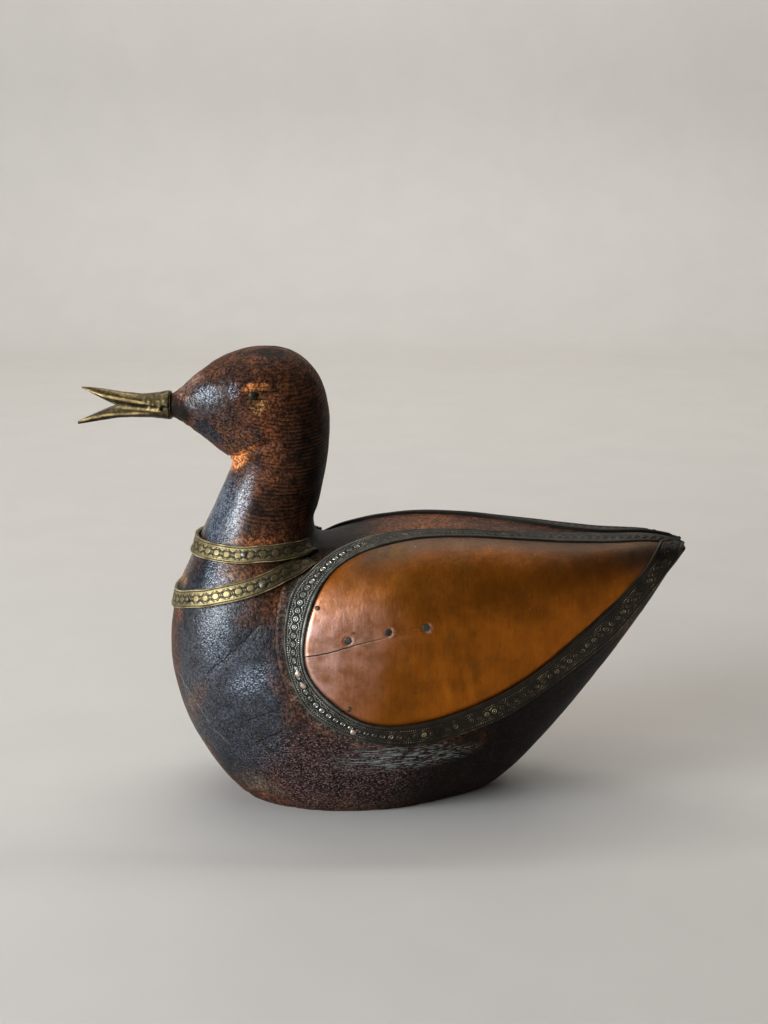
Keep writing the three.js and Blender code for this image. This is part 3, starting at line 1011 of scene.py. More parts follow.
@dataclass(frozen=True)
class Daub(Oval):
    """A ragged patch of another tone, placed in the side view."""

    tone: Tone
    strength: float = 1.0
    soft: float = 0.6

    def share(self, x: Array, z: Array, swells: Array, knocks: Array) -> Array:
        """Work out how much of the daub's tone each place takes.

        Args:
            x: places along the duck.
            z: places above the ground.
            swells: broad noise that makes the edge ragged.
            knocks: finer noise that does the same.

        Returns:
            Shares from 0 to the daub's strength.
        """
        gap = self.reach(x, z) + 0.18 * swells + 0.22 * knocks
        return self.strength * (1 - ramp(gap, 1 - self.soft, 1 + 0.35 * self.soft))


@dataclass(frozen=True)
class Frost(Oval):
    """A patch of painted highlight: pale blue-white specks where the light glints, with its share of them."""

    amount: float


DAUBS = (
    Daub((-20, 22), (46, 26), 0, Tone.PURPLE_BROWN, 0.95),
    Daub((-66, 60), (26, 54), 8, Tone.BLUE_BLACK, 0.97, 0.35),
    Daub((-58, 36), (16, 24), 40, Tone.BLUE_BLACK, 0.95, 0.4),
    # Painted sheen over the chest, where the window's light reflects.
    Daub((-57, 62), (14, 17), 20, Tone.PAINTED_SHEEN, 0.6, 0.9),
    Daub((-66, 120), (7.5, 22), -18, Tone.BLUE_BLACK, 0.95, 0.5),
    # Painted sheen down the neck front, where the window's light reflects.
    Daub((-67, 120), (4.5, 14), -18, Tone.PAINTED_SHEEN, 0.7),
    Daub((-74, 98), (8, 9), 0, Tone.BLUE_BLACK, 0.7),
    Daub((-88, 62), (5, 30), 0, Tone.BROWN, 0.75),
    Daub((-82, 36), (5, 22), -28, Tone.BROWN, 0.7),
    Daub((-57, 98), (11, 8), -18, Tone.RED_BROWN, 0.95),
    Daub((-58, 100), (7, 4), -18, Tone.OCHRE, 0.45),
    Daub((-84, 93), (4, 3), 0, Tone.OCHRE, 0.7),
    Daub((-85, 80), (4, 4), 0, Tone.RED_BROWN, 0.7),
    Daub((-50, 86), (11, 6), 25, Tone.BROWN, 0.7),
    Daub((-48, 112), (15, 2.6), 3, Tone.RED_BROWN, 0.9),
    Daub((-52, 112), (9, 1.8), 3, Tone.ORANGE, 0.35),
    # Painted shade in the hollow where the neck meets the back.
    Daub((-34, 105), (13, 11), 20, Tone.NEAR_BLACK, 0.8),
    Daub((-36, 84), (5, 14), 12, Tone.NEAR_BLACK, 0.45),
    # Painted shade down the back of the neck, which faces away from the light.
    Daub((-27, 138), (10, 42), 6, Tone.NEAR_BLACK, 0.9),
    Daub((-42, 124), (11, 16), 0, Tone.NEAR_BLACK, 0.5),
    Daub((-66, 163), (12, 7), 0, Tone.PURPLE_BROWN, 0.6),
    Daub((-73, 169), (12, 9), 20, Tone.BLUE_BLACK, 0.7),
    Daub((-60, 176), (9, 7), 20, Tone.PURPLE_BROWN, 0.6),
    Daub((-70.5, 153.8), (8, 4.2), -38, Tone.BLUE_BLACK, 0.95, 0.4),
    Daub((-76, 174), (6, 3), 38, Tone.PINK_WORN, 0.55),
    Daub((-76, 178), (5, 2.0), 38, Tone.ORANGE, 0.35),
    Daub((-80, 169), (4, 2.4), 0, Tone.PINK_WORN, 0.7),
    Daub((-83, 161), (7, 5), -30, Tone.NEAR_BLACK, 0.97, 0.4),
    Daub((-46, 158), (10, 12), 0, Tone.RED_BROWN, 0.6),
    Daub((-48, 142), (8, 12), 0, Tone.RED_BROWN, 0.5),
    Daub((-50.4, 173.2), (5.6, 2.5), 2, Tone.ORANGE, 0.9, 0.3),
    Daub((-50.0, 167.4), (3.8, 4.6), 0, Tone.OCHRE, 0.9, 0.35),
    Daub((-60.5, 141), (3.6, 8), -62, Tone.ORANGE, 0.88, 0.5),
    Daub((-56, 145.5), (7.5, 1.8), 32, Tone.ORANGE, 1.0, 0.5),
    Daub((-50, 9), (11, 7), -30, Tone.GREY_BROWN, 0.75),
    Daub((-46, 4), (11, 3.5), -15, Tone.RED_BROWN, 0.7),
    # Painted shade over the underside, keel and tail, which face away from the light.
    Daub((30, 14), (40, 22), 10, Tone.NEAR_BLACK, 0.9),
    Daub((66, 46), (50, 28), 48, Tone.NEAR_BLACK, 0.97, 0.4),
    Daub((110, 90), (20, 20), 40, Tone.NEAR_BLACK, 0.95),
    Daub((5, 113), (38, 4), 0, Tone.RED_BROWN, 0.35),
    Daub((20, 114), (12, 2), 0, Tone.ORANGE, 0.15),
    # Painted shade where the neck meets the back, and along the back towards the tail.
    Daub((-18, 110), (17, 8), 0, Tone.NEAR_BLACK, 0.95),
    Daub((98, 108), (52, 6), 0, Tone.NEAR_BLACK, 0.8),
)

# Painted highlights where the light glints on the neck, between the bands, on the chest and on the snout.
PAINTED_SPARKLES = (
    Frost((-57.0, 126.0), (3.0, 17.0), -20, 0.95),
    Frost((-64.0, 122.0), (8.0, 18.0), -18, 0.40),
    Frost((-67.5, 97.0), (5.0, 9.0), 0, 0.85),
    Frost((-67.0, 76.0), (8.0, 14.0), 0, 0.60),
    Frost((-53.0, 59.0), (11.0, 6.0), 35, 0.85),
    Frost((-60.0, 50.0), (24.0, 36.0), 20, 0.11),
    Frost((-70.0, 170.0), (5.5, 4.0), 0, 0.95),
    Frost((-59.0, 171.5), (2.8, 4.0), 0, 0.85),
)


@dataclass
class Wood:
    """Head, neck and body, carved from one piece of wood."""

    carving: Carving
    strip_outline: Array
    segments: int = 208
    rings: int = 470
    cap_rings: int = 5
    body_spacing: float = 1.7
    head_spacing: float = 0.56
    layer_pitch: float = 1.45
    layer_axis: Triple = (0.10, -0.34, 0.93)
    layer_depth: float = 0.20
    carved_depth: float = 0.32
    ground_round: float = 1.1
    rim_gap: float = 3.7
    rim_groove: float = 0.30
    throat_station: float = 17.95
    throat_depth: float = 0.95
    snout_dimples: float = 0.26
    eye: Pair = EYE
    eye_socket: float = 0.4
    chip_height: float = 6.0
    chip_depth: float = 0.5
    crack_valley: float = 0.22
    least_gloss: float = 0.03
    lined_from: Line = ((105.0, 58.0), (135.0, 56.0), (150.0, 53.0), (168.0, 51.0), (180.0, 60.0))
    chest: Oval = Oval((-66, 62), (30, 52), 8)
    neck_front: Oval = Oval((-66, 118), (12, 26), -18)
    band_gap: Oval = Oval((-72, 97), (12, 9), 0)
    snout: Oval = Oval((-71, 168), (13, 9), 15)
    snout_end: Oval = Oval((-83, 161), (7, 6), -30)
    cheek: Oval = Oval((-60, 156), (13, 12), 0)
    low_flank: Oval = Oval((-20, 20), (40, 26), 0)
    streaked: Oval = Oval((8, 26.5), (30, 6.5), 2)

    def build(self) -> None:
        """Model the wood and store its tones and surface kinds at its vertices."""
        deselect_all()
        bpy.ops.mesh.primitive_uv_sphere_add(segments=self.segments, ring_count=self.rings, radius=1)
        piece = started("carved_body")
        x, y, z = points_of(piece).T
        ring = np.arccos(np.clip(z, -1, 1)) / math.pi
        turn = np.arctan2(y, x) / math.pi
        side = np.where(turn > 0, 1.0, -1.0)
        side[np.abs(turn) > 0.9999] = 1.0
        station, shrink = self._stations(ring)
        girth = self.carving.whole_girth(station) * np.abs(turn)
        points = self.carving.place(station, girth)
        out = self.carving.outward(station, girth)
        middle = self.carving.place(station, self.carving.whole_girth(station) * 0.5)
        middle[:, 1] = 0
        depth, kinds = self._surface(points, station, girth, side)
        points = points - out * depth[:, None] * shrink[:, None]
        points = middle + (points - middle) * shrink[:, None]
        points[:, 1] *= -side
        points[:, 2] = self._on_ground(points[:, 2])
        lay_points(piece, points * MM)
        face_outwards(piece)
        smooth(piece, 60.0)
        for name, values in kinds.items():
            paint(piece, name, values)
        hand_in(piece, AgedWood().material(), "wood", "body")

    def _stations(self, ring: Array) -> tuple[Array, Array]:
        """Spread the rings over the stations, closest together on neck and head.

        Args:
            ring: each vertex's share of the way from the tail's pole to the snout's.

        Returns:
            The stations, and how far each cut is shrunk towards its middle at the two ends.
        """
        rows = self.carving.table
        last = np.array([int(g / self.carving.girth_step) for g in self.carving.girths])
        front = rows[np.arange(len(rows)), last]
        steps = np.maximum(
            np.linalg.norm(np.diff(rows[:, 0], axis=0), axis=1),
            np.linalg.norm(np.diff(front, axis=0), axis=1),
        )
        stops = np.arange(len(rows)) / self.carving.rows_per_section
        spacing = self.body_spacing + (self.head_spacing - self.body_spacing) * ramp(stops[1:], 11.5, 14.0)
        share = np.concatenate([[0], np.cumsum(steps / spacing)])
        cap = self.cap_rings / self.rings
        inner = np.clip((ring - cap) / (1 - 2 * cap), 0, 1)
        station = np.interp(inner * share[-1], share, stops)
        ends = np.minimum(ring, 1 - ring) / cap
        return station, np.sin(np.clip(ends, 0, 1) * math.pi / 2)

    def _on_ground(self, z: Array) -> Array:
        """Flatten the underside on the ground, with a small worn round at its edge."""
        r = self.ground_round
        return np.where(z > r, z, np.where(z < -r, 0, (z + r) ** 2 / (4 * r)))

    def _surface(self, points: Array, station: Array, girth: Array,
                 side: Array) -> tuple[Array, dict[str, Array]]:
        """Work out how deep the surface is worn everywhere and of what kind it is.

        Args:
            points: the smooth form's points, all on the left side.
            station: their stations.
            girth: their girths.
            side: which side they are laid on at last.

        Returns:
            The depth below the smooth form in millimetres, and the values to store by name.
        """
        real = points * np.stack([np.ones_like(side), -side, np.ones_like(side)], axis=1)
        swells = waviness(real, wavelength=17.0, seed=3.1)
        knocks = waviness(real, wavelength=5.0, seed=11.7)
        dimples = waviness(real, wavelength=2.6, seed=23.9)
        x, z = points[:, 0], points[:, 2]
        tape = np.stack([x, girth], axis=1)
        body = station < LAST_BODY_SECTION
        beside = np.where(body, gap_to_line(tape, self.strip_outline), FAR_AWAY)
        covered = body & within(tape, self.strip_outline)
        phase = (real @ np.array(self.layer_axis)) / self.layer_pitch + 0.55 * swells + 0.12 * knocks
        lined = ramp(station, 13.6, 15.0) * ramp(2.0 * knocks + 1.6, 0.4, 1.6)
        lined *= 1 - 0.9 * ramp(-x - read_line(self.lined_from, z) + 2.0 * swells, -3.0, 5.0)
        ridge = 0.5 + 0.5 * np.sin(math.tau * phase)
        groove = ramp(beside, self.rim_gap - 1.2, self.rim_gap + 0.6) * self.rim_groove
        throat = hump(station, self.throat_station, 0.14) * ramp(girth, 32.0, 46.0) * self.throat_depth
        snout = ramp(-x, 60.0, 68.0) * ramp(station, 19.0, 20.0)
        eye_gap = np.hypot(x - self.eye[0], z - self.eye[1])
        chips = ramp(self.chip_height - z, 0.0, 5.0) * ramp(knocks, 0.1, 0.6) * self.chip_depth
        depth = (
            self.carved_depth * (0.5 + 0.5 * swells)
            + 0.09 * (1 + knocks)
            + self.layer_depth * lined * (1 - ridge)
            + groove
            + throat
            + snout * self.snout_dimples * ramp(dimples, -0.5, 0.5)
            + self.eye_socket * (1 - ramp(eye_gap, 1.9, 2.7))
            + chips
            + self._crack_dents(points)
        )
        depth = np.where(covered, 0.0, depth * ramp(beside, 0.0, 1.0))
        kinds = self._kinds(real, side, beside, swells, knocks)
        return depth, {**kinds, "phase": phase, "layers": lined}

    def _crack_dents(self, points: Array) -> Array:
        """Work out the shallow valleys along the cracks of the breast.

        Args:
            points: places on the left side.

        Returns:
            The valleys' depth at each place.
        """
        view = points[:, [0, 2]]
        depth = np.zeros(len(points))
        for crack in AgedWood().cracks:
            depth += self.crack_valley * hump(gap_to_line(view, np.array(crack)), 0.0, 1.2)
        return depth

    def _kinds(self, real: Array, side: Array, beside: Array, swells: Array,
               knocks: Array) -> dict[str, Array]:
        """Work out the tone with its painted shade and sheen, the gloss and other qualities of the surface.

        Args:
            real: the smooth form's points on their own side.
            side: which side they are laid on at last.
            beside: how far they lie from the wing strip's outer edge.
            swells: broad noise at them.
            knocks: finer noise at them.

        Returns:
            The values to store, by name.
        """
        x, z = real[:, 0], real[:, 2]
        tone = np.tile(np.array(Tone.BROWN.value), (len(real), 1))
        for daub in DAUBS:
            share = daub.share(x, z, swells, knocks)[:, None]
            tone = tone * (1 - share) + np.array(daub.tone.value) * share
        away = np.maximum(ramp(x, -12.0, 16.0), ramp(x, -34.0, -26.0) * (z > 70))
        chest, neck, snout = (oval.patch(x, z) for oval in (self.chest, self.neck_front, self.snout))
        low = np.maximum(self.low_flank.patch(x, z), 0.55 * self.cheek.patch(x, z))
        gloss = np.clip(self.least_gloss + chest + neck + self.band_gap.patch(x, z) + 0.9 * snout, 0, 1)
        gloss *= 1 - 0.9 * self.snout_end.patch(x, z)
        gloss *= 1 - 0.75 * ramp(-x, 77.0, 86.0) * (z < 95)
        gloss *= 0.5 + 0.5 * ramp(z, 28.0, 48.0)
        frost = np.maximum.reduce([place.amount * place.patch(x, z) for place in PAINTED_SPARKLES])
        return {
            "tone": tone,
            "gloss": gloss,
            "stipple": np.clip(0.5 + 0.4 * low + 0.3 * chest + 0.5 * snout - 0.2 * neck, 0, 1),
            "streaks": self.streaked.patch(x, z),
            "flecks": low,
            "beside": np.minimum(beside, 12.0) + 10.0 * away,
            # The painted highlight specks are weaker on the right side.
            "frost": np.where(side > 0, 0.4, 1.0) * frost,
        }


# The wings


@dataclass
class WingLines:
    """Where the wing's metal lies, as a tape laid along the duck and round its side would say."""

    carving: Carving
    strip: Line = (
        (123.0, 3.4), (106.0, 2.8), (88.0, 3.4), (66.0, 8.0), (43.0, 13.2), (5.0, 16.2), (-9.0, 18.0),
        (-20.1, 22.4), (-29.5, 30.8), (-37.2, 44.0), (-38.4, 69.0), (-27.0, 95.5), (6.0, 111.0), (45.0, 98.0),
        (87.5, 60.3), (106.0, 33.0), (117.5, 13.5), (123.0, 3.4),
    )
    copper: Line = (
        (111.8, 8.6), (86.0, 13.7), (65.0, 17.4), (12.0, 23.6), (-18.2, 32.3), (-29.8, 54.0), (-28.7, 78.1),
        (-6.8, 99.8), (22.5, 98.4), (57.5, 77.0), (86.6, 44.5), (99.0, 28.4), (108.0, 15.2), (111.8, 8.6),
    )
    lift_from: float = 84.0
    lift_to: float = 112.0
    lift: float = 0.95
    sheet_head: float = 1.0
    tuck: float = 0.21
    panel_tail: float = 113.2
    outer: Tape = field(init=False)
    inner: Tape = field(init=False)

    def __post_init__(self) -> None:
        """Draw the strip's outer edge and the copper's visible edge."""
        self.outer = Tape(self.strip)
        self.inner = Tape(self.copper)

    def laid(self, places: Array, height: Array, side: Side) -> Array:
        """Points above the wood at places of the tape.

        Args:
            places: places along the duck and round its side.
            height: heights above the wood.
            side: the side of the duck.

        Returns:
            The points in metres.
        """
        x, girth = places.T
        station = self.carving.station_at(x, girth)
        rise = height + self.lift * ramp(x, self.lift_from, self.lift_to)
        points = self.carving.place(station, girth) + self.carving.outward(station, girth) * rise[:, None]
        points[:, 1] *= -side.value
        return points * MM


@dataclass(frozen=True)
class Dent(Oval):
    """A dent in the copper sheet, or a bump where its depth is below zero."""

    depth: float


DENTS = (
    Dent((23.7, 87.9), (1.5, 6.5), -12, 0.45),
    Dent((26.5, 88.0), (1.3, 6.5), -12, -0.3),
    Dent((32.1, 82.4), (1.6, 9.0), -14, 0.5),
    Dent((35.3, 82.0), (1.5, 9.0), -14, -0.34),
    Dent((38.5, 80.0), (1.4, 5.0), -10, 0.2),
    Dent((34.6, 51.6), (3.0, 2.4), 0, -0.22),
    Dent((14.0, 88.6), (5.0, 4.0), 0, -0.24),
    Dent((-2.0, 82.0), (9.0, 8.0), 0, -0.3),
    Dent((16.0, 73.0), (7.0, 9.0), 0, 0.32),
    Dent((52.0, 66.0), (12.0, 9.0), 30, 0.26),
    Dent((70.0, 44.0), (14.0, 7.0), 30, -0.24),
    Dent((-12.0, 45.0), (9.0, 8.0), 0, 0.28),
    Dent((24.0, 34.0), (16.0, 6.0), 5, -0.24),
    Dent((60.0, 28.0), (18.0, 6.0), 0, 0.2),
)


@dataclass
class CopperPanel:
    """The teardrop of copper sheet on one side, with its crack and dents."""

    lines: WingLines
    side: Side
    nails: Line
    columns: int = 190
    rows: int = 112
    crack_row: int = 64
    thickness: float = 0.6
    undulation: float = 0.16
    crack: Line = (
        (-34.0, 68.6), (-30.7, 68.2), (-21.1, 67.7), (-7.6, 65.8), (5.1, 64.0), (12.8, 62.2), (40.0, 56.0),
        (80.0, 36.0), (108.0, 12.0),
    )
    crack_end: float = 14.0
    raggedness: float = 0.34
    painted_rim_glint_offsets: Pair = (0.19, 0.55)
    rim_roll: float = 0.5
    dull_from: Line = ((-30, 50), (-18, 32), (12, 23.6), (65, 17.4), (108, 9.0))
    dull_share: float = 0.92
    pink_share: float = 0.75

    def build(self) -> None:
        """Model the sheet from a flat grid, with one row of it along the crack."""
        deselect_all()
        bpy.ops.mesh.primitive_grid_add(x_subdivisions=self.columns, y_subdivisions=self.rows, size=2)
        piece = started(f"copper_panel_{self.side.word}")
        u, v, _ = points_of(piece).T
        column = (u + 1) / 2
        row = np.rint((v + 1) / 2 * self.rows).astype(int)
        x, girth, off = self._spread(column, row)
        places = np.stack([x, girth], axis=1)
        edge = np.minimum(np.minimum(row, self.rows - row) / 6.0, np.minimum(column, 1 - column) * 20)
        inner = np.clip(edge, 0, 1)
        open_share = self._open(x)
        outline = self.lines.inner.at(np.linspace(0, 1, 300))
        inside = np.where(within(places, outline), gap_to_line(places, outline), 0.0)
        rolled = self.rim_roll * (1 - ramp(inside, 0.0, 2.0)) * ramp(girth, 26.0, 44.0)
        rolled *= 1 - ramp(x, 60.0, 90.0)
        height = self.lines.sheet_head - rolled + self._relief(places, off, open_share) * inner
        lay_points(piece, self.lines.laid(places, height, self.side))
        self._store(piece, places, off, open_share, inside)
        face = piece.data.polygons[len(piece.data.polygons) // 2]
        if face.normal.y * self.side.value < 0:
            piece.data.flip_normals()
        apply_modifier(piece, "SOLIDIFY", thickness=self.thickness * MM, offset=-1.0)
        smooth(piece, 50.0)
        hand_in(piece, AgedCopper().material(), "copper", f"wing_panel_{self.side.word}")

    def _spread(self, column: Array, row: Array) -> tuple[Array, Array, Array]:
        """Spread the grid over the teardrop.

        Args:
            column: each vertex's share of the way from nose to tail.
            row: each vertex's row, from the top edge to the bottom edge.

        Returns:
            The places along and round the duck, and how far each vertex lies below the crack.
        """
        shares = np.linspace(0, 1, 1200)
        copper, strip = self.lines.inner.at(shares), self.lines.outer.at(shares)
        edge = copper + (strip - copper) * self.lines.tuck
        nose = int(np.argmin(edge[:, 0]))
        upper, lower = edge[: nose + 1][::-1], edge[nose:]
        eased = 0.5 * column + 0.25 * (1 - np.cos(math.pi * column))
        x = edge[nose, 0] + 0.06 + (self.lines.panel_tail - edge[nose, 0] - 0.06) * eased
        top = np.interp(x, upper[:, 0], upper[:, 1])
        bottom = np.interp(x, lower[:, 0], lower[:, 1])
        wander = waviness(np.stack([x, 0 * x, 0 * x], axis=1), wavelength=2.3, seed=5.5)
        crack = read_line(self.crack, x) + wander * self.raggedness * self._open(x)
        span = bottom - top
        crack = np.clip(crack, top + 0.3 * span, bottom - 0.3 * span)
        squeeze = np.minimum(1.0, span / 12)
        near, far = (offset * squeeze for offset in self.painted_rim_glint_offsets)
        step = row - self.crack_row
        above = top + (crack - far - top) * row / (self.crack_row - 2)
        below = crack + far + (bottom - crack - far) * (step - 2) / (self.rows - self.crack_row - 2)
        rows = [step <= -2, step == -1, step == 0, step == 1]
        girth = np.select(rows, [above, crack - near, crack, crack + near], below)
        return x, girth, girth - crack

    def _open(self, x: Array) -> Array:
        """How far the crack gapes, from 1 at the nose to 0 where it ends."""
        return (1 - ramp(x, -26.0, self.crack_end)) * (self.side is Side.LEFT)

    def _cracked(self, x: Array) -> Array:
        """1 where the crack runs and 0 elsewhere, so always 0 on the right side."""
        return np.where(x < self.crack_end, 1.0, 0.0) * (self.side is Side.LEFT)

    def _relief(self, places: Array, off: Array, open_share: Array) -> Array:
        """Work out the sheet's swells, dents, nail dimples and the crack's lips.

        Args:
            places: its vertices' places on the tape.
            off: how far each lies below the crack.
            open_share: how far the crack gapes there.

        Returns:
            The height over the sheet's plain form.
        """
        x, girth = places.T
        flat = np.column_stack([places, np.full(len(places), 7.0 * self.side.value)])
        swells = waviness(flat, wavelength=16.0, seed=1.3)
        relief = self.undulation * swells + 0.05 * waviness(flat, wavelength=5.0, seed=8.2)
        for dent in DENTS:
            relief -= dent.depth * np.exp(-(dent.reach(x, girth) ** 2))
        for nail in self.nails:
            gap = np.hypot(*(places - np.array(nail)).T)
            relief += 0.16 * hump(gap, 2.3, 0.7) - 0.22 * hump(gap, 0.0, 1.6)
        cracked = self._cracked(x)
        groove = hump(off, 0.0, 0.12) * (0.14 + 0.5 * open_share) * cracked
        lips = hump(np.abs(off), 0.55, 0.35) * 0.13 * cracked
        return relief - groove + lips

    def _store(self, piece: Piece, places: Array, off: Array, open_share: Array, inside: Array) -> None:
        """Store the crack, the painted highlights on its lips, round the nails and along the front edge, the
        dull top band and the painted pink shine.

        Args:
            piece: the sheet.
            places: its vertices' places on the tape.
            off: how far each lies below the crack.
            open_share: how far the crack gapes there.
            inside: how far each lies inside the copper's visible edge.
        """
        x, girth = places.T
        cracked = self._cracked(x)
        paint(piece, "crack", (np.abs(off) < 0.1 + 0.15 * open_share) * cracked * (0.5 + 0.5 * open_share))
        # Painted highlights: bright crack lips, a crescent on one side of each nail dimple, and a bright line
        # along the front edge.
        glint = hump(np.abs(off), 0.5, 0.3) * cracked * 0.2 * open_share
        for nail in self.nails:
            dx, dg = (places - np.array(nail)).T
            glint = np.maximum(glint, 0.8 * hump(np.hypot(dx, dg), 2.0, 0.42) * ramp(dx + 0.4 * dg, 0.2, 1.4))
        nose = (1 - ramp(x, -29.5, -24.5)) * (1 - ramp(np.abs(girth - 68), 12.0, 22.0))
        paint(piece, "painted_rim_glint", np.maximum(glint, 0.75 * nose * hump(inside, 0.7, 0.55)))
        below_top = girth - read_line(self.dull_from, x)
        wander = waviness(np.column_stack([x, girth, 0 * x]), wavelength=14.0, seed=6.6)
        dull = self.dull_share * (1 - ramp(below_top + 3.0 * wander, 3.0, 17.0)) * ramp(x, -24.0, -2.0)
        # Painted highlight: the pale pink shine fades from the front edge towards the tail.
        leftward = x + 0.5 * np.abs(girth - 65) + 5.0 * wander
        pink = self.pink_share * (1 - ramp(leftward, -34.0, 18.0)) * ramp(girth, 34.0, 58.0)
        paint(piece, "dull", dull)
        paint(piece, "pink", pink)


@dataclass(frozen=True)
class EmbossedStrip:
    """A strip of sheet metal with one embossed cell repeated along it, in millimetres.

    Its steps say how many faces a cell has along and across.
    """

    name: str
    pitch: float
    width: float
    steps: tuple[int, int]

    def run(self, cells: int) -> Piece:
        """Model one flat cell with its side walls and back, and repeat it into a closed ribbon.

        Args:
            cells: the number of cells.

        Returns:
            The ribbon in millimetres, x along it, y across, its face at z 0 and its back at z -1.
        """
        deselect_all()
        bpy.ops.mesh.primitive_grid_add(
            x_subdivisions=self.steps[0], y_subdivisions=self.steps[1], size=1, location=(0.5, 0.5, 0)
        )
        piece = started(self.name)
        x, y, _ = points_of(piece).T
        with editing(piece, (np.abs(x - 0.5) > 0.4999) & (np.abs(y - 0.5) > 0.4999)):
            bpy.ops.mesh.extrude_vertices_move(TRANSFORM_OT_translate={"value": (0, 0, -1)})
        for edge in (0.0, 1.0):
            with editing(piece, np.abs(points_of(piece)[:, 1] - edge) < 1e-4):
                bpy.ops.mesh.edge_face_add()
        with editing(piece, points_of(piece)[:, 2] < -0.5):
            bpy.ops.mesh.edge_face_add()
        lay_points(piece, points_of(piece) * np.array([self.pitch, self.width, 1.0]))
        apply_modifier(
            piece,
            "ARRAY",
            count=cells,
            use_relative_offset=False,
            use_constant_offset=True,
            constant_offset_displace=(self.pitch, 0, 0),
            use_merge_vertices=True,
            merge_threshold=0.001,
        )
        with editing(piece):
            bpy.ops.mesh.fill_holes(sides=0)
        return piece

    def along_cell(self, x: Array) -> Array:
        """The place along its cell, from -half a pitch to half a pitch."""
        return (x + self.pitch / 2) % self.pitch - self.pitch / 2


@dataclass
class WingBorder:
    """The dark embossed strip round one copper panel, laid from the tail round and back to it."""

    lines: WingLines
    side: Side
    pitch: float = 3.3
    width: float = 9.3
    steps: tuple[int, int] = (15, 40)
    foot: float = -0.2
    lap: float = 0.83
    lap_foot: float = 0.95
    bead: float = 0.9
    broken_off: float = 3.2
    top_run: Line = ((-20, 40), (10, 30), (60, 22), (85, 16), (106, 9))

    def build(self) -> None:
        """Model one ribbon of cells and lay it between the strip's two edges."""
        strip = EmbossedStrip(f"wing_strip_{self.side.word}", self.pitch, self.width, self.steps)
        share, length = self._lengths()
        cells = round(length / self.pitch)
        piece = strip.run(cells)
        x, y, z = points_of(piece).T
        face = z > -0.5
        across = y / self.width
        s = np.interp(x / (cells * self.pitch), *share)
        wobble = waviness(np.column_stack([x, y, 0 * x + self.side.value]), wavelength=9.0, seed=4.4)
        height, rub = self.relief(strip.along_cell(x - self.pitch / 2), across, x)
        places = (1 - across)[:, None] * self.lines.outer.at(s) + across[:, None] * self.lines.inner.at(s)
        back = np.where(across > self.lap, self.lap_foot, self.foot)
        points = self.lines.laid(places, np.where(face, height + 0.1 * wobble, back), self.side)
        lay_points(piece, points)
        scuffed = 1 + 0.5 * waviness(points / MM, wavelength=3.0, seed=15.2)
        top = self._on_top(places) * ramp(places[:, 0], -22.0, 12.0)
        # The stored share of tarnish and painted light: the right strip gets less grey, and its top run is
        # dulled more.
        grey, dulled = (1.0, 0.3) if self.side is Side.LEFT else (0.4, 0.6)
        paint(piece, "rub", np.where(face, rub * scuffed * (1 - dulled * top), 0.0))
        paint(piece, "bright", self._greyness(places) * grey)
        if self.side is Side.RIGHT:
            self._break_end(piece, x, y)
        face_outwards(piece)
        smooth(piece, 45.0)
        finish = EmbossedMetal(
            "dark_strip",
            recess=(0.012, 0.010, 0.007),
            body=(0.24, 0.235, 0.20),
            rubbed=(1.0, 0.98, 0.90),
            dull_body=(0.031, 0.019, 0.008),
            dull_rubbed=(0.88, 0.68, 0.38),
            rough=0.28,
            grime=0.4,
        )
        hand_in(piece, finish.material(), "strip_metal", f"wing_border_{self.side.word}")

    def _lengths(self) -> tuple[tuple[Array, Array], float]:
        """Measure the strip's middle line as it lies on the wood.

        Returns:
            Shares of its length with the outlines' own shares there, and its length in millimetres.
        """
        s = np.linspace(0, 1, 900)
        middle = (self.lines.outer.at(s) + self.lines.inner.at(s)) / 2
        points = self.lines.laid(middle, np.ones(len(s)), self.side) / MM
        steps = np.linalg.norm(np.diff(points, axis=0), axis=1)
        along = np.concatenate([[0], np.cumsum(steps)])
        return (along / along[-1], s), float(along[-1])

    def relief(self, along: Array, across: Array, x: Array) -> tuple[Array, Array]:
        """The strip's embossing.

        Args:
            along: places along the cell in millimetres, from its middle.
            across: shares of the width, from the outer edge to the copper.
            x: places along the whole strip in millimetres.

        Returns:
            Heights above the wood in millimetres, and how much each place is rubbed.
        """
        v = (across - 0.46) * self.width
        radius = np.hypot(along, v)
        ring = hump(radius, 0.82, 0.18)
        boss = hump(radius, 0.0, 0.32)
        wave = 1.15 + 0.75 * np.abs(np.cos(math.pi * along / self.pitch))
        frame_line = hump(np.abs(v) - wave, 0.0, 0.16)
        beads = 0.5 + 0.5 * np.sin(math.tau * x / self.bead)
        rope = (hump(across, 0.185, 0.026) + hump(across, 0.735, 0.026)) * beads
        thread = hump(across, 0.135, 0.010) + hump(across, 0.785, 0.010)
        edge = hump(across, 0.060, 0.042)
        rolled = np.where(across > self.lap, np.sqrt(np.clip(1 - ((across - 0.915) / 0.09) ** 2, 0, 1)), 0.0)
        # Each line of the figure with its height and its rub.
        figure = (
            (ring, 0.26, 0.9),
            (boss, 0.34, 1.0),
            (frame_line, 0.22, 0.8),
            (rope, 0.26, 1.0),
            (thread, 0.10, 0.45),
        )
        raised = np.maximum.reduce([height * line for line, height, _ in figure])
        low = 1.02 + 0.06 * np.clip(across / 0.1, 0, 1)
        height = low + raised + 0.42 * edge * np.clip(across / 0.03, 0.3, 1) + 0.66 * rolled
        rub = np.maximum.reduce([*(rub * line for line, _, rub in figure), 0.6 * edge, 0.34 * rolled])
        return height, rub

    def _on_top(self, places: Array) -> Array:
        """How far each place belongs to the strip's top run, from 0 to 1."""
        x, girth = places.T
        return 1 - ramp(girth - read_line(self.top_run, x), 0.0, 5.0)

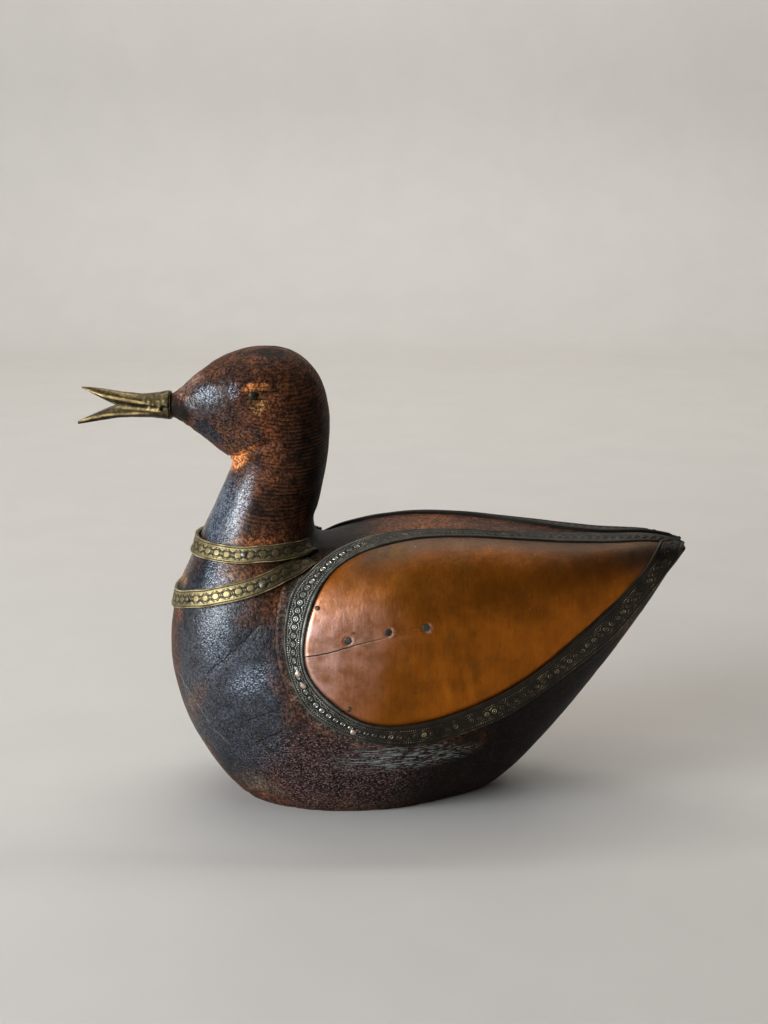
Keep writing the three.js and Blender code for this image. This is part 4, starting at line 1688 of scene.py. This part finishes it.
    def _greyness(self, places: Array) -> Array:
        """Work out how grey the metal is, partly its own tarnish and partly painted light: most at the front,
        which faces the window, less along the top, and dark brown elsewhere, facing away from it.

        Args:
            places: places along the duck and round its side.

        Returns:
            Shares from 0 to 1.
        """
        front = 1 - ramp(places[:, 0], -24.0, 8.0)
        top = self._on_top(places)
        return np.clip(0.05 + 0.95 * np.maximum(front * (1 - 0.2 * top), 0.14 * top), 0, 1)

    def _break_end(self, piece: Piece, x: Array, y: Array) -> None:
        """Break the right strip's top run off short of the tail, with a ragged end.

        Args:
            piece: the laid ribbon.
            x: its vertices' places along the ribbon, from the tail end of the top run.
            y: their places across it.
        """
        ragged = self.broken_off + 0.9 * np.sin(1.1 * y) + 0.5 * np.sin(3.7 * y + 1)
        with editing(piece, x < ragged):
            bpy.ops.mesh.delete(type="VERT")
            bpy.ops.mesh.select_all(action="SELECT")
            bpy.ops.mesh.fill_holes(sides=0)


# The neck


@dataclass
class NeckBand:
    """One embossed brass strip round the neck, both of its ends lying at the back."""

    carving: Carving
    name: str
    node: str
    middle: Line
    stand_off: float = 0.0
    lap: float = 0.0
    lap_from: float = 0.32
    pitch: float = 5.0
    width: float = 7.2
    steps: tuple[int, int] = (24, 30)
    walk_steps: int = 14
    foot: float = -0.5
    end_depth: float = 0.9
    end_length: float = 3.0
    bead: float = 0.75
    plain_height: float = 0.78
    plain_rub: float = 0.50

    def build(self) -> None:
        """Model one ribbon of cells and wrap it round the neck."""
        share, length = self._middle_line()
        cells = round(length[-1] / self.pitch)
        strip = EmbossedStrip(self.name, self.pitch, self.width, self.steps)
        piece = strip.run(cells)
        x, y, z = points_of(piece).T
        face = z > -0.5
        across = y / self.width
        turn = np.interp(x / (cells * self.pitch), length / length[-1], share)
        height, rub = self.relief(strip.along_cell(x - self.pitch / 2), across, x)
        points, out, turned = self._wrapped(turn, across)
        behind = 1 - ramp(turned, self.lap_from - 0.08, self.lap_from + 0.04)
        front = self.stand_off * ramp(turned, 0.70, 0.98) * ramp(across, 0.3, 1.0)
        if self.lap < 0:
            height = height * (1 + self.lap * behind)
        end = np.minimum(x, cells * self.pitch - x)
        tucked = self.end_depth * (1 - np.sqrt(np.clip(end / self.end_length, 0, 1)))
        rise = np.where(face, height + max(self.lap, 0.0) * behind + front - tucked, self.foot + front)
        lay_points(piece, (points + out * rise[:, None]) * MM)
        # Painted shade: the band and its rubbed glints darken towards the back of the neck, which faces away
        # from the light.
        paint(piece, "rub", np.where(face, rub, 0.0) * (1 - 0.4 * ramp(points[:, 0], -38.0, -28.0)))
        paint(piece, "bright", 1 - 0.85 * ramp(points[:, 0], -62.0, -34.0))
        face_outwards(piece)
        smooth(piece, 45.0)
        finish = EmbossedMetal(
            "band_brass",
            recess=(0.012, 0.008, 0.004),
            body=(0.32, 0.25, 0.115),
            rubbed=(0.80, 0.71, 0.46),
            dull_body=(0.048, 0.032, 0.012),
            dull_rubbed=(0.16, 0.115, 0.045),
            rough=0.30,
            grime=0.35,
        )
        hand_in(piece, finish.material(), "band_brass", self.node)

    def relief(self, along: Array, across: Array, x: Array) -> tuple[Array, Array]:
        """The band's embossing: discs in frames of crossed lines, between roped rims.

        Args:
            along: places along the cell in millimetres, from its middle.
            across: shares of the width, from the lower edge to the upper edge.
            x: places along the whole band in millimetres.

        Returns:
            Heights above the wood in millimetres, and how much each place is rubbed.
        """
        v = (across - 0.5) * self.width
        radius = np.hypot(along * 0.86, v * 1.06)
        disc = 1 - ramp(radius, 1.0, 1.3)
        moat = 0.8 * hump(radius, 1.46, 0.17)
        beyond = self.pitch / 2 - np.abs(along)
        inner = ramp(2.2 - np.abs(v), 0.0, 0.15)
        outside = ramp(radius, 1.45, 1.65)
        cross_line = hump(np.abs(v) - 1.15 * beyond, 0.12, 0.19) * inner * outside
        frame_line = hump(np.abs(v) + 0.62 * np.abs(along), 2.32, 0.19) * inner * outside
        pip = hump(np.hypot(beyond, np.abs(v) - 1.55), 0.0, 0.3)
        edge = np.minimum(across, 1 - across)
        rim = hump(edge, 0.04, 0.038)
        rope = hump(edge, 0.145, 0.020) * (0.5 + 0.5 * np.sin(math.tau * x / self.bead))
        line = hump(edge, 0.098, 0.018) + 0.7 * hump(edge, 0.185, 0.012)
        cut = np.maximum.reduce([moat, 0.85 * cross_line, 0.85 * frame_line, line])
        # Each raised part with its height and its rub.
        raised = ((rim, 0.26, 1.3), (rope, 0.12, 0.8), (disc, 0.05, 0.50), (pip, 0.08, 0.7))
        height = sum((height * part for part, height, _ in raised), self.plain_height) - 0.16 * cut
        rub = np.maximum.reduce([rub * part for part, _, rub in raised])
        return height, np.clip(np.maximum(rub, self.plain_rub) - 1.1 * cut, 0, 1.3)

    def _route(self, turn: Array) -> tuple[Array, Array]:
        """Follow the band's middle line.

        Args:
            turn: turns from the front line.

        Returns:
            The stations there, and the shares of the way round from the back line.
        """
        share = 1 - np.abs(turn)
        line = Tape(self.middle).line
        return np.interp(share, line[:, 0], line[:, 1]), share

    def _middle_line(self) -> tuple[Array, Array]:
        """Measure the band's middle line as it lies on the wood.

        Returns:
            Turns along it from end to end, and the length from its first end to each.
        """
        end = 1 - self.middle[0][0]
        turns = np.linspace(-end, end, 1201)
        points = self.carving.at_share(*self._route(turns))
        points[:, 1] *= -np.sign(turns)
        steps = np.linalg.norm(np.diff(points, axis=0), axis=1)
        return turns, np.concatenate([[0], np.cumsum(steps)])

    def _wrapped(self, turn: Array, across: Array) -> tuple[Array, Array, Array]:
        """Where the band's places lie on the wood, going square off its middle line.

        Args:
            turn: turns from the front line, negative on the left side and positive on the right.
            across: shares of the width from the lower edge.

        Returns:
            The points in millimetres, the directions out of the wood, and the shares of the way
            round from the back line.
        """
        columns, column = np.unique(np.round(turn, 7), return_inverse=True)
        station, share = self._route(columns)
        small = 0.004
        near = self.carving.at_share(*self._route(np.maximum(np.abs(columns) - small, 0)))
        far = self.carving.at_share(*self._route(np.abs(columns) + small))
        out = self.carving.outward(station, share * self.carving.whole_girth(station))
        up = np.cross(out, far - near)
        up /= np.linalg.norm(up, axis=1, keepdims=True)
        up *= np.sign(up @ np.array([-0.3, 0.0, 1.0]))[:, None]
        rows = [(station, share)]
        for sign in (-1, 1):
            s, q = station, share
            for _ in range(self.walk_steps):
                s, q = self.carving.walk(s, q, up, sign * self.width / 2 / self.walk_steps)
                rows = [(s, q), *rows] if sign < 0 else [*rows, (s, q)]
        places = np.stack([self.carving.at_share(s, q) for s, q in rows], axis=1)
        outs = np.stack([self.carving.outward(s, q * self.carving.whole_girth(s)) for s, q in rows], axis=1)
        flip = np.where(columns > 0, -1.0, 1.0)[:, None]
        places[..., 1] *= flip
        outs[..., 1] *= flip
        spot = np.clip(across, 0, 1) * 2 * self.walk_steps
        low = np.minimum(spot.astype(int), 2 * self.walk_steps - 1)
        part = (spot - low)[:, None]
        points = places[column, low] * (1 - part) + places[column, low + 1] * part
        ways = outs[column, low] * (1 - part) + outs[column, low + 1] * part
        return points, ways / np.linalg.norm(ways, axis=1, keepdims=True), share[column]


# The beak


@dataclass
class Beak:
    """The open beak, cast in brass, with a gape between its mandibles."""

    base: float = -84.4
    tip: float = -124.3
    top: Line = (
        (-84.4, 165.8), (-85.6, 166.4), (-85.9, 168.9), (-88.0, 168.8), (-91.0, 168.1), (-97.5, 167.5),
        (-105.5, 168.3), (-113.5, 169.6), (-118.0, 170.2), (-124.3, 170.5),
    )
    bottom: Line = (
        (-84.4, 159.4), (-85.6, 158.8), (-85.9, 156.8), (-88.0, 157.1), (-94.0, 157.8), (-102.0, 157.9),
        (-108.0, 157.6), (-113.0, 156.8), (-117.4, 156.1), (-124.3, 155.0),
    )
    half: Line = (
        (-84.4, 4.2), (-85.6, 4.4), (-85.9, 6.0), (-88.0, 5.8), (-97.5, 4.9), (-107.0, 4.4), (-113.0, 3.5),
        (-118.0, 2.5), (-124.3, 1.3),
    )
    roof: Line = (
        (-107.0, 163.1), (-112.0, 165.2), (-116.0, 167.0), (-119.6, 168.8), (-122.0, 169.8), (-122.2, 172.0),
    )
    floor: Line = (
        (-107.0, 163.1), (-111.0, 161.8), (-114.5, 160.5), (-118.0, 159.0), (-121.3, 157.6), (-124.6, 156.0),
    )
    upper_ridge: Line = ((-121, 169.6), (-113, 167.0), (-98, 164.5), (-94, 163.9))
    side_groove: Line = ((-121, 168.0), (-107, 164.6), (-98, 163.3), (-88, 162.7))
    lower_ridge: Line = ((-108, 162.9), (-104, 162.4), (-91, 161.3), (-88, 161.1))
    jaw: Line = ((-124, 156.2), (-118, 157.8), (-112, 159.2), (-98, 160.1), (-88, 159.8))
    gape_end: float = -126.0
    gape_half: float = 12.0
    seam: float = -86.3
    pin_hole: Pair = (-89.0, 162.1)
    cap: float = 0.03
    segments: int = 112
    rings: int = 128

    def build(self) -> None:
        """Model the closed beak, then cut the gape out of it."""
        deselect_all()
        bpy.ops.mesh.primitive_uv_sphere_add(segments=self.segments, ring_count=self.rings, radius=1)
        piece = started("open_beak")
        sx, sy, sz = points_of(piece).T
        share = np.arccos(np.clip(sz, -1, 1)) / math.pi
        angle = np.arctan2(sx, sy)
        along = np.clip((share - self.cap) / (1 - 2 * self.cap), 0, 1)
        shrink = np.sin(np.clip(np.minimum(share, 1 - share) / self.cap, 0, 1) * math.pi / 2)
        x = self.base + (self.tip - self.base) * along
        top, bottom, half = (read_line(line, x) for line in (self.top, self.bottom, self.half))
        y, z, rub = self._section(x, angle, top, bottom, half)
        middle = (top + bottom) / 2
        points = np.column_stack([x, y * shrink, middle + (z - middle) * shrink])
        lay_points(piece, points * MM)
        face_outwards(piece)
        paint(piece, "rub", rub)
        self._cut_gape(piece)
        smooth(piece, 40.0)
        finish = PlainMetal("beak_brass", (0.33, 0.25, 0.115), (0.13, 0.095, 0.045), 0.24)
        hand_in(piece, finish.material(), "beak_brass", "beak")

    def _section(self, x: Array, angle: Array, top: Array, bottom: Array,
                 half: Array) -> tuple[Array, Array, Array]:
        """Shape the beak's cuts, with a filed ridge along each side and the sleeve's seam.

        Args:
            x: places along the beak.
            angle: angles round it, 0 at its left or right side and rising towards the top.
            top: the top line's heights.
            bottom: the bottom line's heights.
            half: half the width.

        Returns:
            The sideways places, the heights, and how much each place is worn and painted lit: painted
            highlights on the ridges and jaw line, painted shade under the jaw.
        """
        up = np.sin(angle)
        out = np.cos(angle)
        middle, rise = (top + bottom) / 2, (top - bottom) / 2
        height = middle + rise * up
        upper_ridge = hump(height - read_line(self.upper_ridge, x), 0, 0.36) * ramp(-x, 93.0, 98.0)
        groove = hump(height - read_line(self.side_groove, x), 0, 0.45)
        lower_ridge = hump(height - read_line(self.lower_ridge, x), 0, 0.5)
        lower_ridge *= ramp(-x, 89.5, 91.0) * ramp(x, -109.5, -107.0)
        jaw = height - read_line(self.jaw, x)
        jaw_line = hump(jaw, 0, 0.36) * ramp(-x, 92.0, 101.0)
        seam = hump(x, self.seam, 0.3)
        pin = hump(np.hypot(x - self.pin_hole[0], height - self.pin_hole[1]), 0.0, 0.75) * (np.abs(out) > 0.3)
        knocks = waviness(np.column_stack([x, out * 4, height]), wavelength=1.3, seed=6.1)
        speckled = np.clip(knocks, 0, 1) * ramp(x, -98.0, -92.0) * ramp(height, 160.8, 161.6)
        speckled *= height < 165.5
        swell = 0.34 * upper_ridge + 0.42 * lower_ridge + 0.25 * jaw_line - 0.3 * groove
        width = np.maximum(half - 0.4 + swell - 0.5 * seam - 0.8 * pin + 0.1 * knocks, 0.4)
        thin = 1 - 0.05 * seam + 0.01 * knocks
        # Painted highlights along the ridges, the jaw line and the speckled edge.
        lit = 0.9 * upper_ridge + 1.0 * lower_ridge + 0.85 * jaw_line + 0.8 * speckled
        rub = np.clip(0.24 + 0.12 * knocks + lit - 0.3 * groove, 0, 1)
        # Painted shade: the beak is darkened below its jaw line.
        rub = np.clip(rub - seam - 1.4 * pin, 0, 1) * (0.06 + 0.94 * ramp(jaw, -1.1, -0.2))
        return width * out, middle + rise * thin * up, rub

    def _cut_gape(self, piece: Piece) -> None:
        """Cut the gape with a wedge pushed right through from side to side.

        Args:
            piece: the closed beak.
        """
        end = [(self.gape_end, self.roof[-1][1]), (self.gape_end, self.floor[-1][1])]
        outline = [*self.roof, *end, *self.floor[:0:-1]]
        deselect_all()
        bpy.ops.mesh.primitive_circle_add(vertices=len(outline), radius=1, fill_type="NGON")
        wedge = started("gape")
        order = np.argsort(np.arctan2(*points_of(wedge)[:, [1, 0]].T) % math.tau)
        laid = np.empty((len(outline), 3))
        for spot, (x, z) in zip(order, outline):
            laid[spot] = (x, -self.gape_half, z)
        lay_points(wedge, laid * MM)
        through = (0, 2 * self.gape_half * MM, 0)
        with editing(wedge):
            bpy.ops.mesh.extrude_region_move(TRANSFORM_OT_translate={"value": through})
        face_outwards(wedge)
        apply_modifier(piece, "BOOLEAN", object=wedge, operation="DIFFERENCE", solver="EXACT")
        bpy.data.objects.remove(wedge)


# Nails, tacks and eyes


@dataclass(frozen=True)
class Fastener:
    """A kind of nail, tack or pin, with its places in the side view."""

    name: str
    head: float
    rise: float
    seat: float
    dome: float
    slot: str
    places: Line
    color: Triple
    stain: Triple


FASTENERS = (
    Fastener("panel_nail", 1.45, 0.32, 1.02, 0.05, "nail_steel", ((-14.0, 76.8), (1.6, 80.5), (16.2, 82.4)),
             (0.10, 0.095, 0.088), (0.035, 0.032, 0.028)),
    Fastener("edge_tack", 1.0, 0.34, 1.1, 0.2, "tack_brass", ((-26.0, 88.6), (-13.5, 49.4)),
             (0.16, 0.11, 0.06), (0.05, 0.04, 0.028)),
    Fastener("border_tack", 1.15, 0.5, 1.25, 0.3, "tack_brass", ((-33.6, 63.6), (-31.4, 58.6), (-12.1, 39.8)),
             (0.62, 0.47, 0.39), (0.20, 0.15, 0.12)),
    Fastener("upper_band_tack", 1.2, 0.55, 0.85, 0.3, "tack_brass", ((-55.3, 107.0),),
             (0.22, 0.22, 0.19), (0.05, 0.05, 0.045)),
    Fastener("lower_band_tack", 1.2, 0.55, 0.85, 0.3, "tack_brass", ((-47.9, 96.1), (-78.1, 87.5)),
             (0.20, 0.18, 0.15), (0.05, 0.04, 0.03)),
    Fastener("eye", 1.75, 0.7, -0.15, 0.55, "tack_brass", (EYE,),
             (0.036, 0.031, 0.021), (0.014, 0.012, 0.008)),
)


@dataclass
class Fixings:
    """All nails, tacks and eye pins, each kind modelled once and copied."""

    carving: Carving
    sides: int = 28
    shank: float = 3.0
    bevel: float = 0.12
    dome_steps: Line = ((0.3, 0.55), (0.3, 0.3), (0.22, 0.15))

    def build(self) -> None:
        """Model each kind, and set a copy of it at each of its places on both sides."""
        for kind in FASTENERS:
            model = self._model(kind)
            finish = PlainMetal(f"{kind.name}_metal", kind.color, kind.stain, 0.34).material()
            for number, place in enumerate(kind.places, start=1):
                label = f"{kind.name}_{number}" if len(kind.places) > 1 else kind.name
                for side in Side:
                    self._set(model, kind, place, side, f"{label}_{side.word}", finish)
            bpy.data.objects.remove(model)

    def _model(self, kind: Fastener) -> Piece:
        """Model one fastener standing on its shank: a bevelled head whose top is domed.

        Args:
            kind: the kind of fastener.

        Returns:
            The model, upright at the origin.
        """
        deselect_all()
        depth = (kind.rise + self.shank) * MM
        top = (kind.seat + kind.rise) * MM
        bpy.ops.mesh.primitive_cylinder_add(
            vertices=self.sides, radius=kind.head * MM, depth=depth, location=(0, 0, top - depth / 2)
        )
        piece = started(kind.name)
        with editing(piece, points_of(piece)[:, 2] > top - 1e-6):
            bpy.ops.mesh.select_mode(type="FACE")
            for inset, lift in self.dome_steps:
                bpy.ops.mesh.inset(thickness=inset * kind.head * MM, depth=lift * kind.dome * MM)
        width = self.bevel * MM
        apply_modifier(piece, "BEVEL", width=width, segments=2, limit_method="ANGLE", angle_limit=0.9)
        return piece

    def _set(self, model: Piece, kind: Fastener, place: Pair, side: Side,
             name: str, finish: Material) -> None:
        """Copy a fastener to its place, standing square to the wood.

        Args:
            model: the fastener at the origin.
            kind: the kind of fastener.
            place: its place in the side view.
            side: the side of the duck.
            name: the node that it replaces.
            finish: its material.
        """
        spot, out, _ = self.carving.side_spot(*place)
        turn = Vector((0, 0, 1)).rotation_difference(Vector(out)).to_matrix()
        points = points_of(model) @ np.array(turn).T + spot * MM
        points[:, 1] *= -side.value
        piece = bpy.data.objects.new(f"{name}_head", model.data.copy())
        bpy.context.collection.objects.link(piece)
        lay_points(piece, points)
        face_outwards(piece)
        smooth(piece, 40.0)
        paint(piece, "rub", np.full(len(points), 0.5))
        hand_in(piece, finish, kind.slot, name)


# The studio


@dataclass(frozen=True)
class Softbox:
    """A soft rectangular light, which faces the duck unless it has a target of its own."""

    name: str
    place: Triple
    size: Pair
    power: float
    color: Triple
    target: Triple = (-0.01, 0.0, 0.09)

    def hang(self) -> None:
        """Add the light and turn it towards its target."""
        deselect_all()
        bpy.ops.object.light_add(type="AREA", location=self.place)
        light = bpy.context.object
        light.name = self.name
        light.data.shape = "RECTANGLE"
        light.data.size, light.data.size_y = self.size
        light.data.energy = self.power
        light.data.color = self.color
        aim = Vector(self.target) - Vector(self.place)
        light.rotation_euler = aim.to_track_quat("-Z", "Y").to_euler()


SOFTBOXES = (
    Softbox("wide_window", (-1.02, -0.72, 0.50), (1.30, 0.85), 13.0, (0.86, 0.93, 1.0)),
    Softbox("bright_window", (-1.05, -0.52, 0.42), (0.34, 0.66), 9.0, (0.88, 0.94, 1.0)),
    Softbox("top", (-0.1, 0.05, 1.30), (1.0, 0.8), 4.5, (1.0, 0.96, 0.90)),
    Softbox("backdrop_light", (0.0, 0.75, 1.75), (2.6, 0.4), 30.0, (1.0, 1.0, 0.98), (0.0, 1.9, 0.55)),
)


@dataclass(frozen=True)
class Studio:
    """A plain pale floor, soft light from the left, and the camera at the photograph's angle."""

    camera_at: Triple = (0.0, -0.6159, 0.2661)
    pitch: float = 13.5
    focal_pixels: float = 1538.0
    frame_pixels: float = 1024.0
    sensor: float = 36.0
    floor_front: float = -3.0
    floor_back: float = 1.7
    floor_width: float = 6.0
    wall_height: float = 2.4
    sweep: float = 0.35
    floor_color: Triple = (0.56, 0.53, 0.495)
    floor_rough: float = 0.65
    air_color: Triple = (0.80, 0.77, 0.74)
    air_strength: float = 0.10

    def build(self) -> None:
        """Set up the camera, the floor, the lights and the world."""
        self._camera()
        self._floor()
        for softbox in SOFTBOXES:
            softbox.hang()
        self._world()

    def _camera(self) -> None:
        """Add the camera where the photograph was taken from."""
        deselect_all()
        bpy.ops.object.camera_add(location=self.camera_at, rotation=(math.radians(90 - self.pitch), 0, 0))
        camera = bpy.context.object
        camera.name = "camera"
        camera.data.sensor_width = self.sensor
        camera.data.lens = self.focal_pixels / self.frame_pixels * self.sensor
        camera.data.clip_start = 0.01
        camera.data.clip_end = 50.0
        bpy.context.scene.camera = camera

    def _floor(self) -> None:
        """Lay a wide pale floor that sweeps up into a backdrop behind the duck."""
        deselect_all()
        middle = (self.floor_back + self.floor_front) / 2
        bpy.ops.mesh.primitive_plane_add(size=1, location=(0, middle, 0))
        floor = started("studio_floor")
        flat = points_of(floor)
        flat[:, 0] *= self.floor_width
        flat[:, 1] = middle + (flat[:, 1] - middle) * (self.floor_back - self.floor_front)
        lay_points(floor, flat)
        with editing(floor, points_of(floor)[:, 1] > middle):
            bpy.ops.mesh.extrude_edges_move(TRANSFORM_OT_translate={"value": (0, 0, self.wall_height)})
        corner = points_of(floor)
        with editing(floor, (corner[:, 1] > middle) & (corner[:, 2] < 0.01)):
            bpy.ops.mesh.bevel(offset=self.sweep, segments=16, affect="EDGES")
        smooth(floor, 40.0)
        r = Recipe("pale_floor")
        tint = r.ease(r.noise(60.0, 3.0), 0.3, 0.7, 0.985, 1.015)
        floor.data.materials.append(r.finish(r.shade(self.floor_color, tint), self.floor_rough, 0.0))

    def _world(self) -> None:
        """Fill the room with a pale, even light."""
        world = bpy.data.worlds.new("studio")
        world.use_nodes = True
        background = world.node_tree.nodes["Background"]
        background.inputs["Color"].default_value = (*self.air_color, 1.0)
        background.inputs["Strength"].default_value = self.air_strength
        bpy.context.scene.world = world
        bpy.context.scene.view_settings.view_transform = "Standard"


# Assembly


UPPER_BAND = (
    (0.125, 11.62), (0.155, 12.05), (0.263, 12.90), (0.393, 13.46), (0.494, 13.70), (0.61, 13.93),
    (0.72, 14.10), (0.83, 14.21), (0.92, 14.26), (1.0, 14.27),
)
LOWER_BAND = (
    (0.168, 11.02), (0.20, 11.32), (0.256, 11.76), (0.31, 12.08), (0.42, 12.44), (0.55, 12.74),
    (0.66, 12.88), (0.75, 12.96), (0.92, 12.99), (1.0, 12.99),
)


def main() -> None:
    """Build the studio, then the duck's sub-assemblies in order."""
    logging.basicConfig(level=logging.INFO, format="%(message)s")
    Studio().build()
    carving = Carving()
    lines = WingLines(carving)
    Wood(carving, lines.outer.at(np.linspace(0, 1, 300))).build()
    spots = [carving.side_spot(*place) for place in FASTENERS[0].places]
    nails = tuple((float(point[0]), girth) for point, _, (_, girth) in spots)
    for side in Side:
        CopperPanel(lines, side, nails).build()
        WingBorder(lines, side).build()
    NeckBand(carving, "upper_band", "neck_band_upper", UPPER_BAND, stand_off=0.7, lap=0.55).build()
    NeckBand(carving, "lower_band", "neck_band_lower", LOWER_BAND, lap=-0.45, lap_from=0.26).build()
    Beak().build()
    Fixings(carving).build()


if __name__ == "__main__":
    main()
